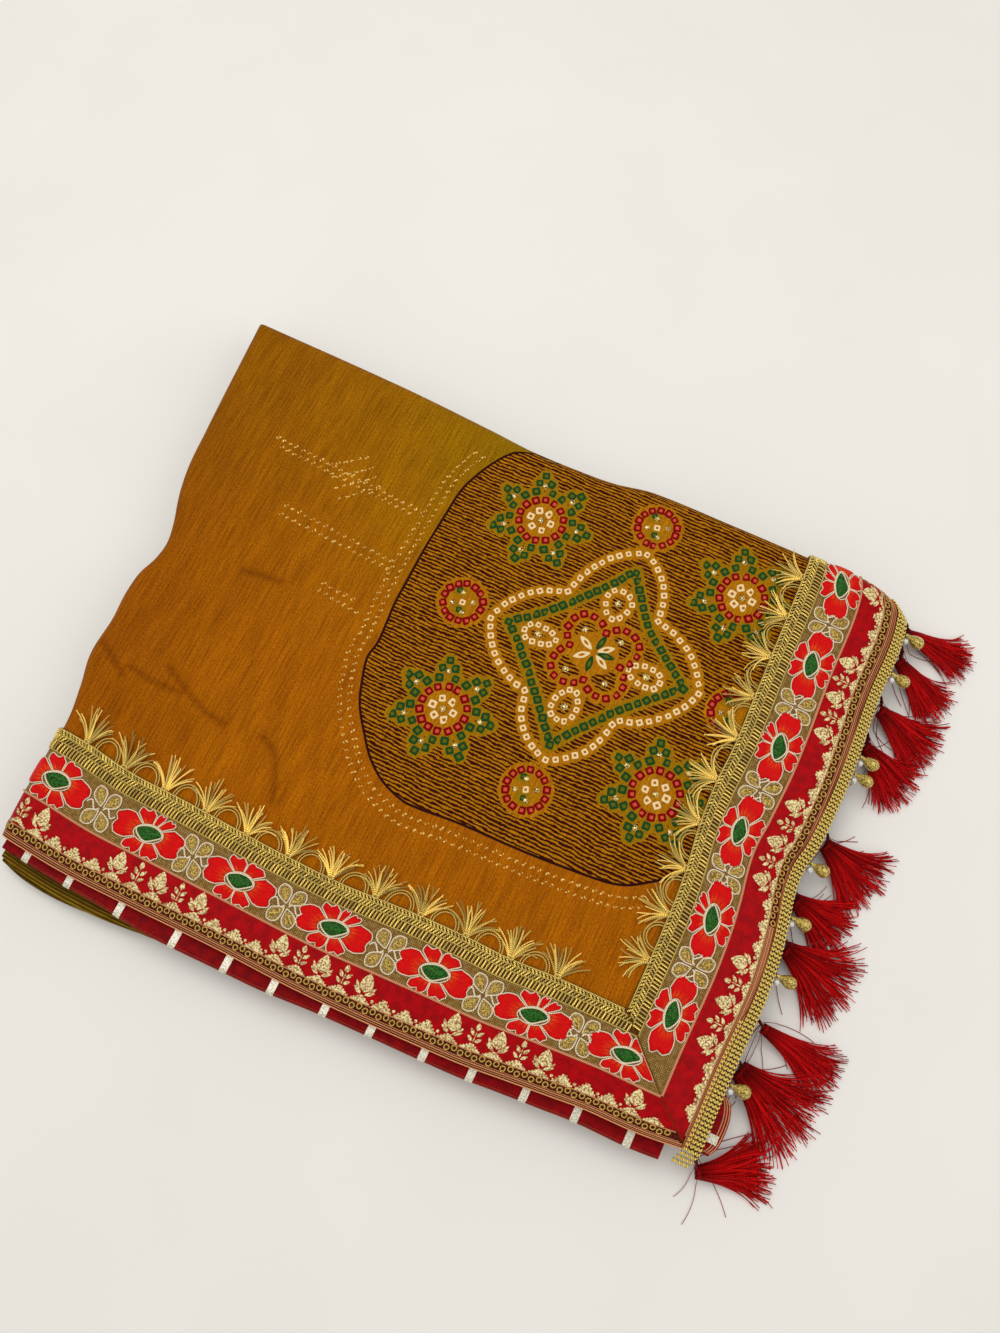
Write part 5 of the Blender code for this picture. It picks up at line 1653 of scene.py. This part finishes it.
flap = make_piece("lower_border_flap", [flap_part()], piping_finish)
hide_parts("under_border_end")
lines = []
for inset in (0.7, 1.9, 3.1):
    q = np.linspace(-129, -104, 20)
    x = read(RIGHT_EDGE, q) + read(FLAP_OUT, q) - inset
    lines.append((np.column_stack([x, q, np.full(20, PIPING_HEIGHT + 0.7)]), 0.3, WHITE))
for inset in (0.5, 1.3):
    p = np.linspace(-155, 169, 200)
    y = read(NEAR_EDGE, p) - read(PIPING_OUT, p) + inset - 0.2
    lines.append((np.column_stack([p, y, np.full(200, PIPING_HEIGHT + 0.45)]), 0.16, (0.6, 0.2, 0.2, 1)))
thread_all("piping_lines", lines, 5, copper_cord)

# %% Metal plates on the piping
PLATES = (-150, -126, -98, -68, -41, -17, 9, 32, 58, 81, 106, 130, 155)
PLATE_HALF = 1.8


def plate_part(middle):
    """A small plate folded over the piping's outer edge."""
    p = np.linspace(middle - PLATE_HALF, middle + PLATE_HALF, 4)[None, :]
    outer = read(NEAR_EDGE, p) - read(PIPING_OUT, p)
    inner = read(NEAR_EDGE, p) + 0.5
    rows = ((0.0, 0.68), (0.3, 0.68), (0.6, 0.68), (0.88, 0.66), (0.96, 0.55), (1.0, 0.25), (1.0, -0.3))
    y = np.concatenate([mix(inner, outer, share) for share, _ in rows])
    z = np.concatenate([np.full_like(p, height) for _, height in rows])
    x = np.broadcast_to(p, y.shape)
    lift = np.linspace(0, 1, len(rows))[:, None] > 0.7
    top = np.stack([x, y - 0.3 * lift, PIPING_HEIGHT + z + 0.3 * ~lift], axis=-1)
    bottom = np.stack([x, y - 0.02, PIPING_HEIGHT + z], axis=-1)
    return skin_part(top, bottom, np.stack([x, y], axis=-1))


def flap_plate():
    """The plate on the flap: the same small strip, turned along the flap's edge."""
    q = np.linspace(-124.5, -120.5, 4)[:, None]
    x = read(RIGHT_EDGE, q) + np.linspace(6.5, 11.5, 4)[None, :]
    y = np.broadcast_to(q, x.shape)
    top = np.stack([x, y, np.full_like(x, PIPING_HEIGHT + 1.1)], axis=-1)
    return skin_part(top, top - (0, 0, 0.4), np.stack([x, y], axis=-1))


plates = [plate_part(middle) for middle in PLATES] + [flap_plate()]
make_piece("piping_plates", plates, plate_finish)

# %% Tassels
# (place along the braid, how far in, tip x, tip y, spread, neck, half width at the head)
TASSELS = (
    (140, 0, 224, 142, 0.20, 3.5, 2.4), (127, 0, 220, 110, 0.26, 4, 2.8), (98, 0, 224, 86, 0.42, 5, 2.8),
    (78, 0, 219, 62, 0.40, 4, 2.8), (24, 0, 222, 10, 0.50, 4, 3.4), (-8, 0, 216, -14, 0.50, 3.5, 3.4),
    (-30, 0, 228, -40, 0.54, 4, 3.6), (-68, 0, 234, -75, 0.20, 6, 2.2), (-88, 0, 232, -105, 0.50, 4, 4.4),
    (-132.5, 2.5, 221, -123, 0.32, 6, 2.6),
)
BRAID_MIDDLE_OUT = 0.2
HEAD_HEIGHT = 9.5
THREADS_IN_TASSEL = 210
STRAY_THREADS = 7


def braid_side(q, radius):
    """Where a round thing of this radius hangs beside the braid."""
    q = float(q)
    beside = on_cloth(float(read(RIGHT_EDGE, q)) + BRAID_GAP + BRAID_WIDTH, q, BRAID_MIDDLE_OUT)
    return beside + np.array([radius + SEAM + 0.1, 0, 0])


def tassel_threads(row, rng):
    """Loose threads that spread from a bound head, the binding, and the knotted neck."""
    root_q, root_in, tip_x, tip_y, spread, neck, half_head = row
    root = braid_side(root_q, 0.9) - np.array([root_in, 0, 0])
    head = np.array([root[0] + neck, mix(root[1], tip_y, 0.16), HEAD_HEIGHT])
    if root_in:
        head[1] = root[1] - neck
    run = np.array([tip_x - head[0], tip_y - head[1]])
    base, reach = math.atan2(run[1], run[0]), math.hypot(*run)
    forward = np.array([math.cos(base), math.sin(base)])
    sideways = np.array([-math.sin(base), math.cos(base)])
    share = np.linspace(0, 1, 9)
    threads = []
    for _ in range(THREADS_IN_TASSEL):
        aside = rng.uniform(-1, 1)
        ragged = 0.9 + 0.07 * math.sin(11 * aside + root_q) - 0.06 * aside**2
        length = (reach + 2.0) * ragged * rng.uniform(0.86, 1.06)
        angle = base + spread * aside * (0.55 + 0.5 * share) + rng.normal(0, 0.1) * share**2
        over = rng.uniform(0, 1)
        start = head[:2] - forward + half_head * aside * sideways
        x = start[0] + length * share * np.cos(angle)
        y = start[1] + length * share * np.sin(angle)
        crown = HEAD_HEIGHT - 1.5 + 2.6 * over * math.sqrt(max(0, 1 - aside**2))
        swell = 1.4 * over * np.sin(math.pi * np.minimum(1, share * 1.6)) ** 2
        z = mix(crown, 0.7 + 2.8 * over, np.minimum(1, share * 1.2) ** 1.1) + swell
        tone = rng.uniform(0.3, 1.2)
        threads.append((np.column_stack([x, y, z]), mix(0.3, 0.2, share), (tone, tone * 0.9, tone * 0.9, 1)))
    turns = np.linspace(0, 4 * math.tau, 44)
    wrap_flat = np.outer(np.linspace(-0.6, 1.2, 44), forward) + np.outer(half_head * np.cos(turns), sideways)
    wrap = head + np.column_stack([wrap_flat, 1.9 * np.sin(turns)])
    threads.append((wrap, 0.36, (0.42, 0.3, 0.3, 1)))
    along = np.linspace(0, 1, 12)[:, None]
    for turn in range(4):
        wander = np.hstack([np.sin(7 * along + 2 * turn), np.cos(8 * along + 2 * turn), np.sin(6 * along)])
        threads.append((mix(root, head, along) + 0.5 * wander, 0.42, (0.4, 0.26, 0.26, 1)))
    return threads + stray_threads(root, base, reach, rng)


def stray_threads(root, base, reach, rng):
    """A few long dark threads that have come loose and end just above the floor."""
    threads = []
    for _ in range(STRAY_THREADS):
        share = np.linspace(0, 1, 14)
        angle = base + rng.uniform(-1.5, 0.9) + rng.normal(0, 0.5) * share
        length = reach * rng.uniform(0.5, 0.9)
        x = root[0] + 2 + length * share * np.cos(angle)
        y = root[1] + length * share * np.sin(angle)
        z = mix(root[2] - 3, 0.5, np.minimum(1, 2.2 * share) ** 0.8)
        threads.append((np.column_stack([x, y, z]), 0.16, (0.5, 0.3, 0.36, 1)))
    return threads


for number, row in enumerate(TASSELS, 1):
    rng = np.random.default_rng(number)
    tassel = thread_all(f"silk_tassel_{number:02d}", tassel_threads(row, rng), 4, tassel_silk)
    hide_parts(f"tassel_{number:02d}")

# %% Beads
BEADS = (112, 66, 57, 8, -19, -46, -98.5)
# One more bead, beside the first tassel, that the plain solids leave out
FAR_BEAD = 134
BEAD_LEAN = 1.1
DROP_PROFILE = (
    (0, 0), (0.5, -0.1), (0.9, -0.6), (1.05, -1.2), (0.9, -1.8), (1.0, -2.4), (1.3, -3.2), (1.8, -4.2),
    (2.4, -5.4), (2.9, -6.8), (3.25, -8.2), (3.2, -9.6), (2.6, -10.9), (1.5, -11.8), (0, -12.1),
)
SMALL_RADIUS = 1.7
SMALL_PROFILE = tuple(
    (SMALL_RADIUS * math.sin(angle), SMALL_RADIUS * math.cos(angle)) for angle in np.linspace(0, math.pi, 11))
# Where a small bead hangs beside the top of its drop, in x, y and z
SMALL_BESIDE = (1.6, -2.6, -2.2)
SMALL_LEAN = 0.3


def turned_part(profile, top, lean, sides=20):
    """A closed bead: a profile of (radius, height) turned round an axis that leans towards +x."""
    radius, height = np.array(profile).T
    angle = np.linspace(0, math.tau, sides, endpoint=False)[None, :]
    radius, height = radius[1:-1, None], height[1:-1, None] * np.ones_like(angle)
    ring = np.stack([radius * np.cos(angle), radius * np.sin(angle), height], axis=-1).reshape(-1, 3)
    local = np.concatenate([ring, [[0, 0, profile[0][1]]], [[0, 0, profile[-1][1]]]])
    x = local[:, 0] * math.cos(lean) - local[:, 2] * math.sin(lean)
    z = local[:, 0] * math.sin(lean) + local[:, 2] * math.cos(lean)
    points = np.column_stack([x, local[:, 1], z]) + top
    faces = facing_out(points - points.mean(axis=0), capped_ring_faces(len(profile) - 2, sides))
    return points, faces, np.zeros((len(points), 2)), WHITE


small_beads = []
for number, q in enumerate((*BEADS, FAR_BEAD), 1):
    top = braid_side(q, 0.7)
    drop = turned_part(DROP_PROFILE, top, BEAD_LEAN)
    bead = make_piece(f"drop_bead_{number:02d}", [drop], bead_finish)
    if number <= len(BEADS):
        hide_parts(f"bead_drop_{number:02d}")
    small_beads.append(turned_part(SMALL_PROFILE, top + SMALL_BESIDE, SMALL_LEAN, 16))
make_piece("clear_beads", small_beads, pearl_finish)

# %% [markdown]
# ## Tied spots, stones and foil
#
# A tied spot is a small ring of dye with a lighter heart. Each is a thin pad on the cloth, stamped where the
# pattern asks for it, and the stones are low gold domes beside them.

# %% Stamps and their places
def dome_stamp(name, sides, squareness, rows):
    """A low round or squarish dome of half width 1; `rows` are (share of the half width, height)."""
    points, rim = [], []
    for share, height in rows:
        for i in range(sides):
            angle = math.tau * i / sides
            whole = abs(math.cos(angle)) ** squareness + abs(math.sin(angle)) ** squareness
            reach = share / whole ** (1 / squareness)
            points.append((reach * math.cos(angle), reach * math.sin(angle), height))
            rim.append(share)
    points = np.array(points)
    last = (len(rows) - 1) * sides
    faces = ring_faces(len(rows), sides)
    faces += [tuple(reversed(range(sides))), tuple(range(last, last + sides))]
    data = bpy.data.meshes.new(name)
    data.from_pydata((points * MM).tolist(), [], facing_out(points - (0, 0, 0.02), faces))
    fill_attribute(data, "rim", "FLOAT", rim)
    data.shade_smooth()
    return bpy.data.objects.new(name, data)


def cloth_stamps(rows, out):
    """Rows for stamp_all at places on the cloth: (p, q, turn, size x, size y, size z, tint, heart)."""
    made = []
    for p, q, turn, size_x, size_y, size_z, tint, heart in rows:
        here = on_cloth(p, q, out + float(cloth_ripple(np.array(p), np.array(q))))
        along = skin(p + 0.5, q) - skin(p - 0.5, q)
        across = skin(p, q + 0.5) - skin(p, q - 0.5)
        ahead = along * math.cos(turn) + across * math.sin(turn)
        made.append((here, ahead, normal_of_cloth(p, q), (size_x, size_y, size_z), tint, heart))
    return made


def clear_of_borders(p, q):
    return q > float(read(FAN_ROOT_LONG, p)) + 1 and p < float(read(FAN_ROOT_PALLU, q)) - 1.5 and q < 143


SPOT_ROWS = ((0.02, 0.14), (0.42, 0.14), (0.7, 0.15), (0.95, 0.1), (1.0, -0.1))
LEAF_ROWS = ((0.02, 0.2), (0.42, 0.2), (0.7, 0.18), (0.95, 0.1), (1.0, -0.1))
STONE_ROWS = ((0.02, 0.6), (0.45, 0.55), (0.8, 0.3), (1.0, 0.0), (1.0, -0.15))
DOT_ROWS = ((0.02, 0.28), (0.6, 0.22), (1.0, 0.0), (1.0, -0.12))
UNEVEN = 0.12

spot_stamp = dome_stamp("spot_stamp", 16, 9.0, SPOT_ROWS)
rng = np.random.default_rng(3)
rows = []
for p, q, turn, half_long, half_wide, tint, heart in spots:
    if clear_of_borders(p, q):
        # Hand-tied spots are never quite in line nor quite alike
        p, q, turn = (value + rng.normal(0, UNEVEN) for value in (p, q, turn))
        grow = rng.uniform(0.92, 1.08)
        rows.append((p, q, turn, half_long * grow, half_wide * grow, 1, tint, heart))
stamp_all("tied_spots", spot_stamp, cloth_stamps(rows, 0.0), spot_finish)
leaf_stamp = dome_stamp("leaf_stamp", 16, 1.5, LEAF_ROWS)
rows = [(p, q, turn, half_long, half_wide, 1, tint, heart)
        for p, q, turn, half_long, half_wide, tint, heart in petal_spots]
stamp_all("medallion_petals", leaf_stamp, cloth_stamps(rows, 0.0), spot_finish)
stone_stamp = dome_stamp("stone_stamp", 10, 2.0, STONE_ROWS)
rows = [(p, q, 0.0, size, size, 1, WHITE, WHITE) for p, q, size in stones if clear_of_borders(p, q)]
stamp_all("gold_stones", stone_stamp, cloth_stamps(rows, 0.1), stone_finish)

# %% Foil dots
FOIL_PITCH = 3.8
FOIL_ROWS = (
    ((-148, 89.8), (-61.6, 85)), ((-143.7, 85.5), (-67.2, 81.8)),
    ((-125.5, 57.8), (-63.4, 54.4)), ((-125.7, 52.4), (-63.2, 49.9)),
    ((-88.3, 29.1), (-71.3, 27.9)), ((-88.3, 24.8), (-66.4, 22.8)),
)
FOIL_DIAMOND = ((-101.2, 99.6), (-88.4, 87.4), (-102.9, 73.1), (-116.3, 88.2))


def beside_arch(offset):
    """A path outside the arch's line at a steady distance from it."""
    run = np.gradient(arch_path, axis=0)
    aside = np.stack([run[:, 1], -run[:, 0]], axis=-1) / np.hypot(*run.T)[:, None]
    path = arch_path + aside * offset
    return path[(path[:, 1] < 128) & (path[:, 0] < 119)]


dots = [even_along(row, FOIL_PITCH) for row in FOIL_ROWS]
dots += [even_along(beside_arch(offset), FOIL_PITCH) for offset in (5.8, 10.5)]
top, right, bottom, left = (np.array(corner) for corner in FOIL_DIAMOND)
for share in (0.0, 0.36, 0.68, 1.0):
    dots.append(even_along((mix(top, right, share), mix(left, bottom, share)), FOIL_PITCH))

rows = []
for p, q in np.concatenate(dots):
    for share in (0, 1):
        p, q = p + share * rng.uniform(0.5, 1.3), q + share * rng.uniform(0.5, 1.3)
        if clear_of_borders(p, q):
            size = rng.uniform(0.45, 0.8)
            rows.append((p, q, rng.uniform(0, math.pi), size * 1.25, size * 0.75, 1, WHITE, WHITE))
dot_stamp = dome_stamp("dot_stamp", 7, 2.0, DOT_ROWS)
stamp_all("foil_dots", dot_stamp, cloth_stamps(rows, 0.05), foil_finish)

# %% [markdown]
# ## The whole cloth
#
# The whole saree is about 5.6 m by 1.15 m.

# %% [markdown]
# ## Stage and camera
#
# A pale floor, a large soft light from above and a weaker one from the side give the even light of the
# photograph. The camera stands where the photographer stood.

# %% Floor
floor_data = bpy.data.meshes.new("pale_floor")
floor_data.from_pydata([(-3, -3, 0), (3, -3, 0), (3, 3, 0), (-3, 3, 0)], [], [(0, 1, 2, 3)])
floor = bpy.data.objects.new("pale_floor", floor_data)
bpy.context.scene.collection.objects.link(floor)
floor_finish, tree, shader = new_finish("pale_floor", 0.8)
place = on_piece(tree)
mottle = noise(tree, place, 0.01, 2.0)
connect(tree, shader, blend_tones(tree, mottle, paint(238, 235, 228), paint(244, 242, 236)))
floor_data.materials.append(floor_finish)

# %% Light
world = bpy.data.worlds.new("studio")
bpy.context.scene.world = world
world.use_nodes = True
world.node_tree.nodes["Background"].inputs[0].default_value = (1.0, 0.985, 0.96, 1)
world.node_tree.nodes["Background"].inputs[1].default_value = 0.52


def soft_light(name, size, power, place, aim):
    data = bpy.data.lights.new(name, "AREA")
    data.size = size
    data.energy = power
    light = bpy.data.objects.new(name, data)
    bpy.context.scene.collection.objects.link(light)
    light.location = place
    toward = np.array(aim) - np.array(place)
    light.rotation_euler = (math.acos(-toward[2] / np.linalg.norm(toward)), 0,
                            math.atan2(toward[1], toward[0]) - math.pi / 2)


soft_light("main_light", 1.0, 9.0, (-0.35, 0.2, 1.35), (0, 0, 0))
soft_light("side_light", 1.2, 3, (1.1, 0.2, 0.9), (0, 0, 0))

# %% Camera
EYE = (77.2, -107.9, 541.1)
ELEVATION = math.radians(73.5)
AZIMUTH = math.radians(26.0)
camera_data = bpy.data.cameras.new("camera")
camera_data.sensor_fit = "VERTICAL"
camera_data.sensor_height = 36
camera_data.lens = 36 * 1100 / 1333
camera = bpy.data.objects.new("camera", camera_data)
bpy.context.scene.collection.objects.link(camera)
camera.location = (np.array(EYE) - MIDDLE) * MM
camera.rotation_euler = (math.pi / 2 - ELEVATION, 0, AZIMUTH)
bpy.context.scene.camera = camera
bpy.context.scene.view_settings.view_transform = "Standard"

# %% End
print("scene built")
